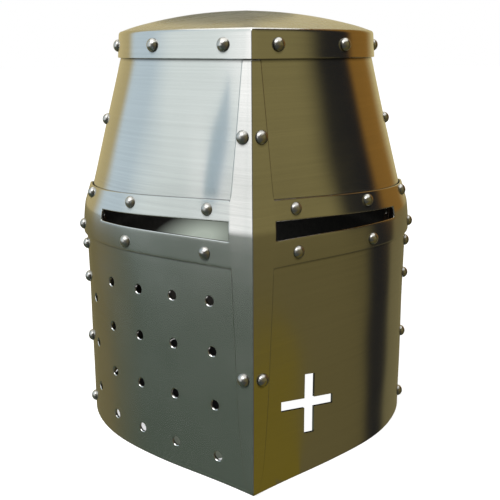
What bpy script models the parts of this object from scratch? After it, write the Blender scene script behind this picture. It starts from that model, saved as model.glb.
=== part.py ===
"""Riveted great helm: ridged steel plates, a cross-shaped sight plate, a leather liner and a chin strap.

Metres, +Z up. The ridge of the face points to -Y, the wearer's left is +X, and the helm stands on its rim.
"""
import math
from collections import namedtuple

import bmesh
import bpy
from mathutils import Matrix, Vector

# Stock and fits
PLATE = 0.0016
LEATHER = 0.0024
CLEARANCE = 0.0003
LAYER = PLATE + CLEARANCE
MERGE = 0.000001

# Plan outline at the rim
RIM_HALF_WIDTH = 0.115
RIM_RIDGE_REACH = 0.1406
RIM_BACK_REACH = 0.1446
RIM_WIDEST_Y = 0.0096
RIM_RIDGE_ANGLE = math.radians(40.4)
RIM_RIDGE_PULL = 0.0687
RIM_CHEEK_PULL = 0.0793
BARREL_TAPER = 0.0345

# Plan outline of the skull under the crown flange
TOP_HALF_WIDTH = 0.0845
TOP_RIDGE_REACH = 0.1294
TOP_BACK_REACH = 0.1200
TOP_WIDEST_Y = 0.0100
TOP_RIDGE_ANGLE = math.radians(38.7)
TOP_RIDGE_PULL = 0.0700
TOP_CHEEK_PULL = 0.0800

# Heights of the shell
BEND_Z = 0.145
BEND_HALF = 0.012
FLANGE_EDGE_Z = 0.2516
FLANGE_HEIGHT = 0.0164
FLANGE_LEAN = 0.0010
FOLD_RADIUS = 0.0025
SKULL_TUCK = 0.0100
DOME_RISE = 0.0132

# Laps between the plates, measured along the rim
SEAM_BEFORE_WIDEST = 0.0278
SEAM_FRONT_LAP = 0.010
SEAM_BACK_LAP = 0.009
BACK_LAP_DOWN = 0.0115
BACK_LAP_UP = 0.0145
JOGGLE_RUN = 0.009
CROWN_EASE_RUN = 0.040

# Sight plate: the heights are at the ridge, and each edge falls away towards the side
ARM_BOTTOM_Z = 0.1385
LOWER_BAR_HEIGHT = 0.0154
SLOT_HEIGHT = 0.0113
UPPER_BAR_HEIGHT = 0.0119
ARM_BOTTOM_FALL = 0.024
SLOT_BOTTOM_FALL = 0.027
SLOT_TOP_FALL = 0.0623
ARM_TOP_FALL = 0.057
SLOT_IN = 0.0150
SLOT_OUT = 0.126
SLOT_MARGIN = 0.002
ARM_END_PAST_WIDEST = 0.010
ARM_JOGGLE_RUN = 0.009
STRIP_HALF = 0.0138
STRIP_TOP_HALF = 0.0050
STRIP_TIP_Z = 0.003
STRIP_TIP_HALF = 0.0012
STRIP_TIP_POWER = 0.34
STRIP_TIP_ROW_POWER = 1.6

# Breath holes in the right cheek: height at the ridge and fall, then distance at the rim and lean
VENT_DIAMETER = 0.006
VENT_ROWS = ((0.1171, 0.0525), (0.0859, 0.046), (0.0516, 0.027), (0.0172, 0.0))
VENT_COLUMNS = ((0.0264, 0.045), (0.0603, 0.0), (0.0905, -0.01), (0.1183, 0.0))
VENT_SIDE_BEFORE_SEAM = 0.025
VENT_SIDE_Z = 0.0277
VENT_SIDE_PITCH = 0.0327
VENT_SIDE_COUNT = 3

# Depth of the tools that cut the holes and the cross
CUT_DEPTH = 0.0096

# Cross cut-out in the left cheek
CROSS_S = 0.045
CROSS_Z = 0.0468
CROSS_BAR = 0.0064
CROSS_UPRIGHT = 0.0081
CROSS_UP = 0.0190
CROSS_DOWN = 0.0204
CROSS_IN = 0.0228
CROSS_OUT = 0.0200
CROSS_TILT = math.radians(-9.0)

# Rivets: those of the arms by distance from the ridge, and drop from the top or rise from the bottom edge
SHANK_DIAMETER = 0.0036
HEAD_DIAMETER = 0.0078
HEAD_HEIGHT = 0.0031
TAIL_DIAMETER = 0.0064
RIDGE_TAIL_DIAMETER = 0.0044
TAIL_HEIGHT = 0.0010
SEAT_SAG = 0.0002
HEAD_SHOULDER_SHARE = 0.72
HEAD_SHOULDER_RISE = 0.70
CROWN_RIVET_S = (0.0178, 0.0719, 0.146, 0.238)
CROWN_RIVET_DROP = 0.0088
SKULL_RIVET_Z = 0.2115
STRIP_RIVETS = (("upper", 0.0049, 0.2110), ("lower", 0.0056, 0.0735))
UPPER_RIVETS = ((0.0307, 0.0057), (0.0950, 0.0052))
UPPER_END_RIVET_BEFORE_SEAM = 0.018
UPPER_END_RIVET_DROP = 0.0040
LOWER_RIVETS = ((0.0327, 0.0069), (0.0978, 0.0058))
SEAM_RIVET_OVER_EDGE = 0.0051
SEAM_RIVET_UNDER_EDGE = 0.0089
SEAM_RIVET_Z = (0.1015, 0.0570, 0.0095)
BACK_ROW_RISE = 0.0030
BACK_RIVET_S = (0.265, 0.340)

# Leather liner
BAND_HEIGHT = 0.034
BAND_FRONT_ROUND_S = 0.020
BAND_EASE_START_S = 0.110
BAND_OVER_STRAP = 0.0025
BAND_UNDER_BACK_RIVETS = 0.0095
BAND_DROP_START_S = 0.212
BAND_DROP_END_S = 0.255
TONGUES_PER_SIDE = 3
TONGUE_LAP = 0.012
TONGUE_BASE_HALF = 0.044
TONGUE_TIP_HALF = 0.0048
TONGUE_TIP_RADIUS = 0.0120
APEX_UNDER_FOLD = 0.0060
APEX_Y = -0.004
APEX_DISC_RADIUS = 0.026

# Chin strap, buckled, hanging from the first back rivets
STRAP_WIDTH = 0.018
STRAP_DROP = 0.097
STRAP_OVERLAP_RISE = 0.0046
STRAP_RISE_FROM = math.radians(48)
STRAP_RISE_TO = math.radians(84)
BUCKLE_ANGLE = math.radians(112)
STRAP_TIP_ANGLE = math.radians(146)
KEEPER_ANGLE = math.radians(130)
KEEPER_WIDTH = 0.010
KEEPER_WALL = 0.0016
STRAP_TIP_RUN = math.radians(6)
STRAP_TIP_NARROWING = 0.55
ROUND_END_TURNS = (math.radians(80), math.radians(55), math.radians(28))
LOOP_NECK = 0.0108
BUCKLE_WIRE = 0.0026
BUCKLE_LENGTH = 0.016
BUCKLE_SIDE_GAP = 0.0008
PRONG_WIDTH = 0.0026
PRONG_THICKNESS = 0.0018
LOOP_WALL = 0.0012

# Facet counts
FRONT_COLUMNS = 16
BACK_COLUMNS = 18
CROWN_BACK_COLUMNS = 15
BAND_COLUMNS = 42
BAND_FRONT_COLUMNS = 6
SLOT_COLUMNS = 10
ARM_TAIL_COLUMNS = 5
TIP_ROWS = 8
DOME_RINGS = (0.75, 0.40, 0.0)
RIVET_SIDES = 8
HOLE_SIDES = 6
VENT_SIDES = 10
DISC_SIDES = 24
LONG_STRAP_ROWS = 24
SHORT_STRAP_ROWS = 12
BAR_SIDES = 14
OUTLINE_SAMPLES = 400

Outline = namedtuple("Outline", "half_width ridge_reach back_reach widest_y angle ridge_pull cheek_pull")
RIM = Outline(RIM_HALF_WIDTH, RIM_RIDGE_REACH, RIM_BACK_REACH, RIM_WIDEST_Y,
              RIM_RIDGE_ANGLE, RIM_RIDGE_PULL, RIM_CHEEK_PULL)
TOP = Outline(TOP_HALF_WIDTH, TOP_RIDGE_REACH, TOP_BACK_REACH, TOP_WIDEST_Y,
              TOP_RIDGE_ANGLE, TOP_RIDGE_PULL, TOP_CHEEK_PULL)

SLOT_BOTTOM_Z = ARM_BOTTOM_Z + LOWER_BAR_HEIGHT
SLOT_TOP_Z = SLOT_BOTTOM_Z + SLOT_HEIGHT
ARM_TOP_Z = SLOT_TOP_Z + UPPER_BAR_HEIGHT
BACK_ROW_Z = ARM_BOTTOM_Z + BACK_ROW_RISE
BACK_LAP_LOW_Z = BACK_ROW_Z - BACK_LAP_DOWN
BACK_LAP_HIGH_Z = BACK_ROW_Z + BACK_LAP_UP
BAND_SIDE_Z = BACK_ROW_Z + STRAP_WIDTH / 2 + BAND_OVER_STRAP
BAND_BACK_Z = BACK_ROW_Z - BAND_UNDER_BACK_RIVETS
FOLD_Z = FLANGE_EDGE_Z + FLANGE_HEIGHT
APEX_Z = FOLD_Z - APEX_UNDER_FOLD
SKULL_TOP_Z = FLANGE_EDGE_Z + SKULL_TUCK

# Lifts of the outer faces from the master surface, which is the outer face of the front plates
FRONT_LIFT = 0.0
SIGHT_LIFT = LAYER
BACK_LIFT = -LAYER
TUCK_LIFT = -2 * LAYER


# Master surface
def outline_point(outline, station):
    """Plan point at a station: 0 at the ridge, 1 at the widest, 2 at the back, negative on the -X side."""
    station = station - 4 if station > 2 else station
    side = -1 if station < 0 else 1
    t = abs(station)
    if t > 1:
        turn = (t - 1) * math.pi / 2
        x = outline.half_width * math.cos(turn)
        y = outline.widest_y + (outline.back_reach - outline.widest_y) * math.sin(turn)
        return Vector((side * x, y))
    start = Vector((0, -outline.ridge_reach))
    leave = start + outline.ridge_pull * Vector((math.cos(outline.angle), math.sin(outline.angle)))
    end = Vector((outline.half_width, outline.widest_y))
    arrive = end - Vector((0, outline.cheek_pull))
    point = ((1 - t) ** 3 * start + 3 * (1 - t) ** 2 * t * leave
             + 3 * (1 - t) * t ** 2 * arrive + t ** 3 * end)
    return Vector((side * point.x, point.y))


def arc_table(outline):
    """Stations of one half of an outline with their distances from the ridge."""
    stations = [2 * i / OUTLINE_SAMPLES for i in range(OUTLINE_SAMPLES + 1)]
    points = [outline_point(outline, station) for station in stations]
    lengths = [0.0]
    for before, after in zip(points, points[1:]):
        lengths.append(lengths[-1] + (after - before).length)
    return stations, lengths


RIM_ARC = arc_table(RIM)
TOP_ARC = arc_table(TOP)
RIM_HALF_ARC = RIM_ARC[1][-1]
WIDEST_S = RIM_ARC[1][OUTLINE_SAMPLES // 2]
SEAM_S = WIDEST_S - SEAM_BEFORE_WIDEST
FRONT_REAR_EDGE = SEAM_S + SEAM_FRONT_LAP
BACK_FRONT_EDGE = SEAM_S - SEAM_BACK_LAP


def station_at(distance, arc=RIM_ARC):
    """Station at a signed distance from the ridge along an outline."""
    stations, lengths = arc
    side = -1 if distance < 0 else 1
    reach = min(abs(distance), lengths[-1])
    i = next(k for k in range(1, len(lengths)) if lengths[k] >= reach - MERGE * MERGE)
    part = (reach - lengths[i - 1]) / (lengths[i] - lengths[i - 1])
    return side * (stations[i - 1] + part * (stations[i] - stations[i - 1]))


def bend_ramp(z):
    """0 on the barrel, rising to 1 at the flange edge, with a rounded bend between barrel and cone."""
    rise = z - BEND_Z
    if rise <= -BEND_HALF:
        return 0.0
    if rise < BEND_HALF:
        rise = (rise + BEND_HALF) ** 2 / (4 * BEND_HALF)
    return rise / (FLANGE_EDGE_Z - BEND_Z)


def master_point(station, z):
    """Point on the master surface."""
    low = outline_point(RIM, station) * (1 - BARREL_TAPER * min(z, BEND_Z))
    ramp = bend_ramp(z)
    return (low * (1 - ramp) + outline_point(TOP, station) * ramp).to_3d() + Vector((0, 0, z))


def surface_normal(surface, station, z):
    """Outward normal of a surface function; at the ridge it is the mitre of the two cheeks."""
    station = station - 4 if station > 2 else station
    side = -1 if station < 0 else 1
    t = abs(station)
    along = surface(min(t + 0.001, 2.0), z) - surface(max(t - 0.001, 0.0), z)
    up = surface(t, z + 0.0001) - surface(t, z - 0.0001)
    normal = along.cross(up).normalized()
    if t < MERGE or t > 2 - MERGE:
        normal.x = 0
        return normal / normal.length_squared
    return Vector((side * normal.x, normal.y, normal.z))


def shell_point(station, z, lift):
    """Point lifted off the master surface along its normal."""
    return master_point(station, z) + lift * surface_normal(master_point, station, z)


def ease(value, start, end):
    """Smooth step from 0 at start to 1 at end."""
    t = min(max((value - start) / (end - start), 0.0), 1.0)
    return t * t * (3 - 2 * t)


def spread(start, end, count):
    """Evenly spaced values, both ends included."""
    return [start + (end - start) * i / count for i in range(count + 1)]


# Objects and materials
def material(name, colour, metallic, roughness):
    made = bpy.data.materials.new(name)
    made.use_nodes = True
    shader = made.node_tree.nodes["Principled BSDF"]
    shader.inputs["Base Color"].default_value = (*colour, 1)
    shader.inputs["Metallic"].default_value = metallic
    shader.inputs["Roughness"].default_value = roughness
    return made


def add_object(name, bm, finish=None, smooth_angle=math.radians(30)):
    """Object from a bmesh; without a finish it is a hidden cutter."""
    mesh = bpy.data.meshes.new(name)
    bm.to_mesh(mesh)
    bm.free()
    made = bpy.data.objects.new(name, mesh)
    bpy.context.collection.objects.link(made)
    if finish is None:
        made.hide_render = True
        made.display_type = "WIRE"
    else:
        mesh.materials.append(finish)
        mesh.shade_smooth()
        mesh.set_sharp_from_angle(angle=smooth_angle)
    return made


def sheet(name, patches, thickness, finish):
    """Plate from patches of outer-face rows, thickened inwards."""
    bm = bmesh.new()
    for rows in patches:
        grid = [[bm.verts.new(point) for point in row] for row in rows]
        for low, high in zip(grid, grid[1:]):
            for i in range(len(low) - 1):
                bm.faces.new((low[i], low[i + 1], high[i + 1], high[i]))
    bmesh.ops.remove_doubles(bm, verts=bm.verts, dist=MERGE)
    made = add_object(name, bm, finish)
    wall = made.modifiers.new("wall", "SOLIDIFY")
    wall.thickness = thickness
    wall.offset = -1
    wall.use_even_offset = True
    return made


def cut(target, cutter, operation="DIFFERENCE"):
    """Boolean cut or join that stays on the target."""
    step = target.modifiers.new(cutter.name, "BOOLEAN")
    step.object = cutter
    step.operation = operation
    step.solver = "EXACT"


def placed(point, normal):
    """Frame at a point with its Z axis along a normal."""
    return Matrix.Translation(point) @ normal.normalized().to_track_quat("Z", "Y").to_matrix().to_4x4()


def shell_rows(stations, heights, lift):
    """Rows of points on the shell; heights(station) lists the row heights, lift(station, z) the lift."""
    columns = [[shell_point(q, z, lift(q, z)) for z in heights(q)] for q in stations]
    return [list(row) for row in zip(*columns)]


def distance_of(station):
    """Distance from the ridge along the rim, on either side."""
    station = station - 4 if station > 2 else station
    stations, lengths = RIM_ARC
    place = abs(station) * OUTLINE_SAMPLES / 2
    i = min(int(place), OUTLINE_SAMPLES - 1)
    return lengths[i] + (place - i) * (lengths[i + 1] - lengths[i])


# Edges of the sight plate, as heights at a distance from the ridge
def arm_top(s):
    return ARM_TOP_Z - ARM_TOP_FALL * s


def arm_bottom(s):
    return ARM_BOTTOM_Z - ARM_BOTTOM_FALL * s


def slot_top(s):
    return SLOT_TOP_Z - SLOT_TOP_FALL * min(s, SLOT_OUT)


def slot_bottom(s):
    return SLOT_BOTTOM_Z - SLOT_BOTTOM_FALL * min(s, SLOT_OUT)


def arm_lift(s):
    """The arm lies on the front plates and steps down onto the back skull plate behind them."""
    start = FRONT_REAR_EDGE + CLEARANCE + PLATE
    return SIGHT_LIFT * (1 - ease(s, start, start + ARM_JOGGLE_RUN))


def strip_half(z):
    """Half width of the ridge strip: tapered above the arms, a lance tip below them."""
    if z > ARM_BOTTOM_Z:
        return STRIP_HALF + (STRIP_TOP_HALF - STRIP_HALF) * max(
            0.0, (z - ARM_TOP_Z) / (FLANGE_EDGE_Z - ARM_TOP_Z))
    rise = max(0.0, (z - STRIP_TIP_Z) / (ARM_BOTTOM_Z - STRIP_TIP_Z))
    return max(STRIP_TIP_HALF, STRIP_HALF * rise ** STRIP_TIP_POWER)


# Plates
def front_stations():
    reach = FRONT_REAR_EDGE
    return [station_at(s) for s in spread(-reach, reach, 2 * FRONT_COLUMNS)]


def back_stations():
    half = [station_at(s) for s in spread(BACK_FRONT_EDGE, RIM_HALF_ARC, BACK_COLUMNS)]
    return half + [4 - q for q in reversed(half[:-1])]


def skull_front_plate(finish):
    def heights(q):
        low = slot_top(distance_of(q)) + SLOT_MARGIN
        return spread(low, FLANGE_EDGE_Z, 3) + [SKULL_TOP_Z]

    rows = shell_rows(front_stations(), heights, lambda q, z: FRONT_LIFT)
    return sheet("skull_front_plate", [rows], PLATE, finish)


def skull_back_plate(finish):
    heights = spread(BACK_LAP_LOW_Z, BEND_Z + BEND_HALF, 3)
    heights += spread(BEND_Z + BEND_HALF, FLANGE_EDGE_Z, 2)[1:] + [SKULL_TOP_Z]
    rows = shell_rows(back_stations(), lambda q: heights, lambda q, z: BACK_LIFT)
    return sheet("skull_back_plate", [rows], PLATE, finish)


def face_plate(finish):
    def heights(q):
        top = slot_bottom(distance_of(q)) - SLOT_MARGIN
        knee = BEND_Z - BEND_HALF
        return [0.0, knee, (knee + top) / 2, top]

    rows = shell_rows(front_stations(), heights, lambda q, z: FRONT_LIFT)
    return sheet("face_plate", [rows], PLATE, finish)


def nape_lift(z):
    """The nape plate steps inwards at its top, so that the back skull plate laps over it."""
    step_end = BACK_LAP_LOW_Z - CLEARANCE - PLATE
    return BACK_LIFT + (TUCK_LIFT - BACK_LIFT) * ease(z, step_end - JOGGLE_RUN, step_end)


def nape_plate(finish):
    step_end = BACK_LAP_LOW_Z - CLEARANCE - PLATE
    heights = [0.0] + spread(step_end - JOGGLE_RUN, step_end, 2)
    heights += spread(step_end, BACK_LAP_HIGH_Z, 3)[1:]
    rows = shell_rows(back_stations(), lambda q: heights, lambda q, z: nape_lift(z))
    return sheet("nape_plate", [rows], PLATE, finish)


def sight_plate(finish):
    """Ridge strip and both arms in one plate, with the eye slots left open."""
    def bars(s):
        low, high = arm_bottom(s), slot_bottom(s)
        under = spread(low, high, 2)
        low, high = slot_top(s), arm_top(s)
        return under, spread(low, high, 2)

    tip_rows = [STRIP_TIP_Z + (ARM_BOTTOM_Z - STRIP_TIP_Z) * (k / TIP_ROWS) ** STRIP_TIP_ROW_POWER
                for k in range(TIP_ROWS)]
    under, over = bars(STRIP_HALF)
    head_top = FLANGE_EDGE_Z - CLEARANCE
    strip_heights = tip_rows + under + over + spread(over[-1], head_top, 3)[1:]
    strip = []
    for z in strip_heights:
        half = STRIP_HALF if under[0] <= z <= over[-1] else strip_half(z)
        strip.append([shell_point(station_at(s), z, SIGHT_LIFT) for s in spread(-half, half, 2)])

    arm_end = WIDEST_S + ARM_END_PAST_WIDEST
    slot_columns = spread(SLOT_IN, SLOT_OUT, SLOT_COLUMNS)
    tail_columns = spread(SLOT_OUT, FRONT_REAR_EDGE, ARM_TAIL_COLUMNS)
    tail_columns += spread(FRONT_REAR_EDGE + LAYER, arm_end, ARM_TAIL_COLUMNS)

    def patch(side, distances, pick):
        columns = []
        for s in distances:
            columns.append([shell_point(side * station_at(s), z, arm_lift(s)) for z in pick(s)])
        if side < 0:
            columns.reverse()
        return [list(row) for row in zip(*columns)]

    patches = [strip]
    whole = [STRIP_HALF] + slot_columns + tail_columns[1:]
    for side in (-1, 1):
        patches.append(patch(side, whole, lambda s: bars(s)[0]))
        patches.append(patch(side, whole, lambda s: bars(s)[1]))
        for ends in ([STRIP_HALF, SLOT_IN], tail_columns):
            patches.append(patch(side, ends, lambda s: [slot_bottom(s), slot_top(s)]))
    return sheet("sight_plate", patches, PLATE, finish)


def crown_lift(station):
    """The flange lies on the front plate, and behind the side seam it comes in onto the back plate."""
    start = FRONT_REAR_EDGE + LAYER
    share = ease(distance_of(station), start, start + CROWN_EASE_RUN)
    return SIGHT_LIFT + (FRONT_LIFT - SIGHT_LIFT) * share


def flange_point(station, z):
    """Point on the outer face of the crown flange, which leans in a little towards the fold."""
    foot = shell_point(station, FLANGE_EDGE_Z, crown_lift(station))
    inward = surface_normal(master_point, station, FLANGE_EDGE_Z)
    inward.z = 0
    lean = FLANGE_LEAN * (z - FLANGE_EDGE_Z) / FLANGE_HEIGHT
    return Vector((foot.x, foot.y, z)) - lean * inward


def crown_plate(finish):
    distances = spread(0, FRONT_REAR_EDGE, FRONT_COLUMNS)
    distances += spread(FRONT_REAR_EDGE, RIM_HALF_ARC, CROWN_BACK_COLUMNS)[1:]
    half = [station_at(s) for s in distances]
    loop = [-q for q in reversed(half)] + half[1:]
    fold_start = FOLD_Z - FOLD_RADIUS
    rows = [[flange_point(q, z) for q in loop] for z in (FLANGE_EDGE_Z, fold_start)]
    rim = [flange_point(q, FOLD_Z) for q in loop]
    middle = Vector((0, (rim[0].y + rim[len(half) - 1].y) / 2, 0))

    def dome_ring(share, z):
        return [Vector((p.x * share, middle.y + (p.y - middle.y) * share, z)) for p in rim]

    reach = RIM_HALF_WIDTH
    soft = 1 - FOLD_RADIUS * (1 - math.cos(math.pi / 4)) / reach
    rows.append(dome_ring(soft, FOLD_Z - FOLD_RADIUS * (1 - math.sin(math.pi / 4))))
    for share in (1 - FOLD_RADIUS / reach, *DOME_RINGS):
        rows.append(dome_ring(share, FOLD_Z + DOME_RISE * (1 - share * share)))
    return sheet("crown_plate", [rows], PLATE, finish)


# Openings cut in the face plate
def vent_cutter():
    bm = bmesh.new()
    spots = []
    for z_ridge, fall in VENT_ROWS:
        for s_rim, lean in VENT_COLUMNS:
            z = z_ridge - fall * s_rim
            spots.append((s_rim + lean * z, z))
    for k in range(VENT_SIDE_COUNT):
        spots.append((SEAM_S - VENT_SIDE_BEFORE_SEAM, VENT_SIDE_Z + k * VENT_SIDE_PITCH))
    for s, z in spots:
        station = -station_at(s)
        frame = placed(shell_point(station, z, -PLATE / 2), surface_normal(master_point, station, z))
        bmesh.ops.create_cone(bm, cap_ends=True, segments=VENT_SIDES, radius1=VENT_DIAMETER / 2,
                              radius2=VENT_DIAMETER / 2, depth=CUT_DEPTH, matrix=frame)
    return add_object("breath_holes", bm)


def cross_cutter():
    """Plus-shaped prism set square to the left cheek; the level edges of the plus lean by the tilt."""
    bar, upright = CROSS_BAR / 2, CROSS_UPRIGHT / 2
    lean = math.tan(CROSS_TILT)
    outline = ((-CROSS_IN, -bar), (-upright, -bar), (-upright, -CROSS_DOWN), (upright, -CROSS_DOWN),
               (upright, -bar), (CROSS_OUT, -bar), (CROSS_OUT, bar), (upright, bar), (upright, CROSS_UP),
               (-upright, CROSS_UP), (-upright, bar), (-CROSS_IN, bar))
    station = station_at(CROSS_S)
    normal = surface_normal(master_point, station, CROSS_Z)
    up = Vector((0, 0, 1))
    across = up.cross(normal).normalized()
    centre = shell_point(station, CROSS_Z, CUT_DEPTH / 2)
    bm = bmesh.new()
    corners = [bm.verts.new(centre + a * across + (b + a * lean) * up) for a, b in outline]
    cap = bm.faces.new(corners)
    base = bmesh.ops.extrude_face_region(bm, geom=[cap])
    moved = [v for v in base["geom"] if isinstance(v, bmesh.types.BMVert)]
    bmesh.ops.translate(bm, verts=moved, vec=-2 * CUT_DEPTH * normal)
    bmesh.ops.recalc_face_normals(bm, faces=bm.faces)
    return add_object("cross_opening", bm)


# Rivets
Rivet = namedtuple("Rivet", "name frame stack tail")


def rivet_bmesh(stack, tail_diameter):
    """Turned rivet along Z: dome head above the seat at 0, shank through the stack, upset tail below."""
    head, shank, tail = HEAD_DIAMETER / 2, SHANK_DIAMETER / 2, tail_diameter / 2
    profile = [(0, HEAD_HEIGHT), (head * HEAD_SHOULDER_SHARE, HEAD_HEIGHT * HEAD_SHOULDER_RISE), (head, 0),
               (shank, 0), (shank, -stack), (tail, -stack), (tail, -stack - TAIL_HEIGHT),
               (0, -stack - TAIL_HEIGHT)]
    bm = bmesh.new()
    points = [bm.verts.new((x, 0, z)) for x, z in profile]
    edges = [bm.edges.new(pair) for pair in zip(points, points[1:])]
    bmesh.ops.spin(bm, geom=points + edges, axis=(0, 0, 1), cent=(0, 0, 0), angle=math.tau,
                   steps=RIVET_SIDES, use_merge=True)
    bmesh.ops.remove_doubles(bm, verts=bm.verts, dist=MERGE)
    bmesh.ops.recalc_face_normals(bm, faces=bm.faces)
    return bm


def shell_rivet(name, distance, z, outer_lift, inner_lift, tail=TAIL_DIAMETER):
    """Rivet square to the shell, from the outermost face to the innermost face of its stack.

    The flat facets of the plates sag a little inside the true curve, so the tail leaves room for that.
    """
    station = station_at(distance)
    frame = placed(shell_point(station, z, outer_lift + CLEARANCE),
                   surface_normal(master_point, station, z))
    return Rivet(name, frame, outer_lift - inner_lift + 2 * CLEARANCE + SEAT_SAG, tail)


def crown_rivet(name, station):
    z = FOLD_Z - CROWN_RIVET_DROP
    normal = surface_normal(flange_point, station, z).normalized()
    behind = BACK_LIFT if distance_of(station) > BACK_FRONT_EDGE - TAIL_DIAMETER else FRONT_LIFT
    skull_normal = surface_normal(master_point, station, z).normalized()
    seat = flange_point(station, z) + CLEARANCE * normal
    inner = shell_point(station, z, behind - PLATE)
    relief = TAIL_DIAMETER / 2 * (normal - skull_normal).length
    return Rivet(name, placed(seat, normal), (seat - inner).dot(normal) + CLEARANCE + relief, TAIL_DIAMETER)


def strap_rivet(name, side):
    """The arm end, both back plates and the chin strap share this rivet, which points along X."""
    station = side * station_at(WIDEST_S)
    relief = HEAD_DIAMETER / 2 * abs(surface_normal(master_point, station, BACK_ROW_Z).z)
    seat = shell_point(station, BACK_ROW_Z, FRONT_LIFT)
    seat.x += side * (CLEARANCE + relief)
    stack = abs(seat.x) - STRAP_ANCHOR_X + LEATHER + CLEARANCE
    return Rivet(name, placed(seat, Vector((side, 0, 0))), stack, TAIL_DIAMETER)


def all_rivets():
    rivets = []
    band_inner = -PLATE - CLEARANCE - LEATHER
    back_inner = TUCK_LIFT - PLATE - CLEARANCE - LEATHER
    for side, tag in ((-1, "right"), (1, "left")):
        for k, s in enumerate(CROWN_RIVET_S):
            rivets.append(crown_rivet(f"crown_rivet_{tag}_{k + 1}", side * station_at(s, TOP_ARC)))
        rivets.append(shell_rivet(f"skull_rivet_{tag}", side * SEAM_S, SKULL_RIVET_Z,
                                  FRONT_LIFT, BACK_LIFT - PLATE))
        for place, s, z in STRIP_RIVETS:
            rivets.append(shell_rivet(f"strip_rivet_{place}_{tag}", side * s, z,
                                      SIGHT_LIFT, FRONT_LIFT - PLATE, RIDGE_TAIL_DIAMETER))
        end_rivet = (SEAM_S - UPPER_END_RIVET_BEFORE_SEAM, UPPER_END_RIVET_DROP)
        for k, (s, drop) in enumerate((*UPPER_RIVETS, end_rivet)):
            holds_band = s < BAND_EASE_START_S
            inner = band_inner if holds_band else FRONT_LIFT - PLATE
            rivets.append(shell_rivet(f"upper_arm_rivet_{tag}_{k + 1}", side * s, arm_top(s) - drop,
                                      SIGHT_LIFT, inner))
        for k, (s, rise) in enumerate(LOWER_RIVETS):
            rivets.append(shell_rivet(f"lower_arm_rivet_{tag}_{k + 1}", side * s, arm_bottom(s) + rise,
                                      SIGHT_LIFT, FRONT_LIFT - PLATE))
        edge = arm_bottom(SEAM_S)
        heights = (edge + SEAM_RIVET_OVER_EDGE, edge - SEAM_RIVET_UNDER_EDGE, *SEAM_RIVET_Z)
        for k, z in enumerate(heights):
            under_arm = z > edge
            near_step = z > BACK_LAP_LOW_Z - JOGGLE_RUN - TAIL_DIAMETER
            rivets.append(shell_rivet(f"seam_rivet_{tag}_{k + 1}", side * SEAM_S, z,
                                      SIGHT_LIFT if under_arm else FRONT_LIFT,
                                      (TUCK_LIFT if near_step else BACK_LIFT) - PLATE))
        rivets.append(strap_rivet(f"strap_rivet_{tag}", side))
        for k, s in enumerate(BACK_RIVET_S):
            rivets.append(shell_rivet(f"back_rivet_{tag}_{k + 1}", side * s, BACK_ROW_Z,
                                      BACK_LIFT, back_inner))
    rivets.append(crown_rivet("crown_rivet_back", 2.0))
    return rivets


def rivet_hole_cutter(rivets):
    bm = bmesh.new()
    for rivet in rivets:
        past = 2 * TAIL_HEIGHT
        depth = rivet.stack + 2 * past
        frame = rivet.frame @ Matrix.Translation((0, 0, -rivet.stack / 2))
        radius = (SHANK_DIAMETER / 2 + CLEARANCE) / math.cos(math.pi / HOLE_SIDES)
        bmesh.ops.create_cone(bm, cap_ends=True, segments=HOLE_SIDES, radius1=radius, radius2=radius,
                              depth=depth, matrix=frame)
    return add_object("rivet_holes", bm)


def add_rivets(rivets, finish):
    for rivet in rivets:
        made = add_object(rivet.name, rivet_bmesh(rivet.stack, rivet.tail), finish)
        made.matrix_world = rivet.frame


# Leather liner
def band_low(s):
    """Lower edge of the head band: above the eye slots, over the strap rivets, low at the back."""
    front = slot_top(s) + SLOT_MARGIN
    side = front + (BAND_SIDE_Z - front) * ease(s, SLOT_OUT, WIDEST_S - STRAP_WIDTH / 2)
    return side + (BAND_BACK_Z - BAND_SIDE_Z) * ease(s, BAND_DROP_START_S, BAND_DROP_END_S)


def band_lift(s):
    """Outer face of the band: against the front plate, then inside the stepped nape plate."""
    front = FRONT_LIFT - PLATE - CLEARANCE
    back = TUCK_LIFT - PLATE - CLEARANCE
    return front + (back - front) * ease(s, BAND_EASE_START_S, BACK_FRONT_EDGE - CLEARANCE)


def band_point(distance, height, depth=0.0):
    """Point on the band at a height above its lower edge; the ridge corner is rounded off."""
    s = abs(distance)
    z = band_low(s) + height
    if s >= BAND_FRONT_ROUND_S:
        return shell_point(station_at(distance), z, band_lift(s) - depth)
    end = shell_point(station_at(BAND_FRONT_ROUND_S), z, band_lift(s) - depth)
    corner = shell_point(0, z, band_lift(s) - depth)
    t = (distance / BAND_FRONT_ROUND_S + 1) / 2
    start = Vector((-end.x, end.y, end.z))
    return (1 - t) ** 2 * start + 2 * t * (1 - t) * corner + t ** 2 * end


def head_band(finish):
    front = spread(-BAND_FRONT_ROUND_S, BAND_FRONT_ROUND_S, BAND_FRONT_COLUMNS)
    side = spread(BAND_FRONT_ROUND_S, RIM_HALF_ARC, BAND_COLUMNS)[1:]
    loop = [-s for s in reversed(side)] + front + side
    rows = [[band_point(s, h) for s in loop] for h in spread(0, BAND_HEIGHT, 3)]
    return sheet("head_band", [rows], LEATHER, finish)


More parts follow.
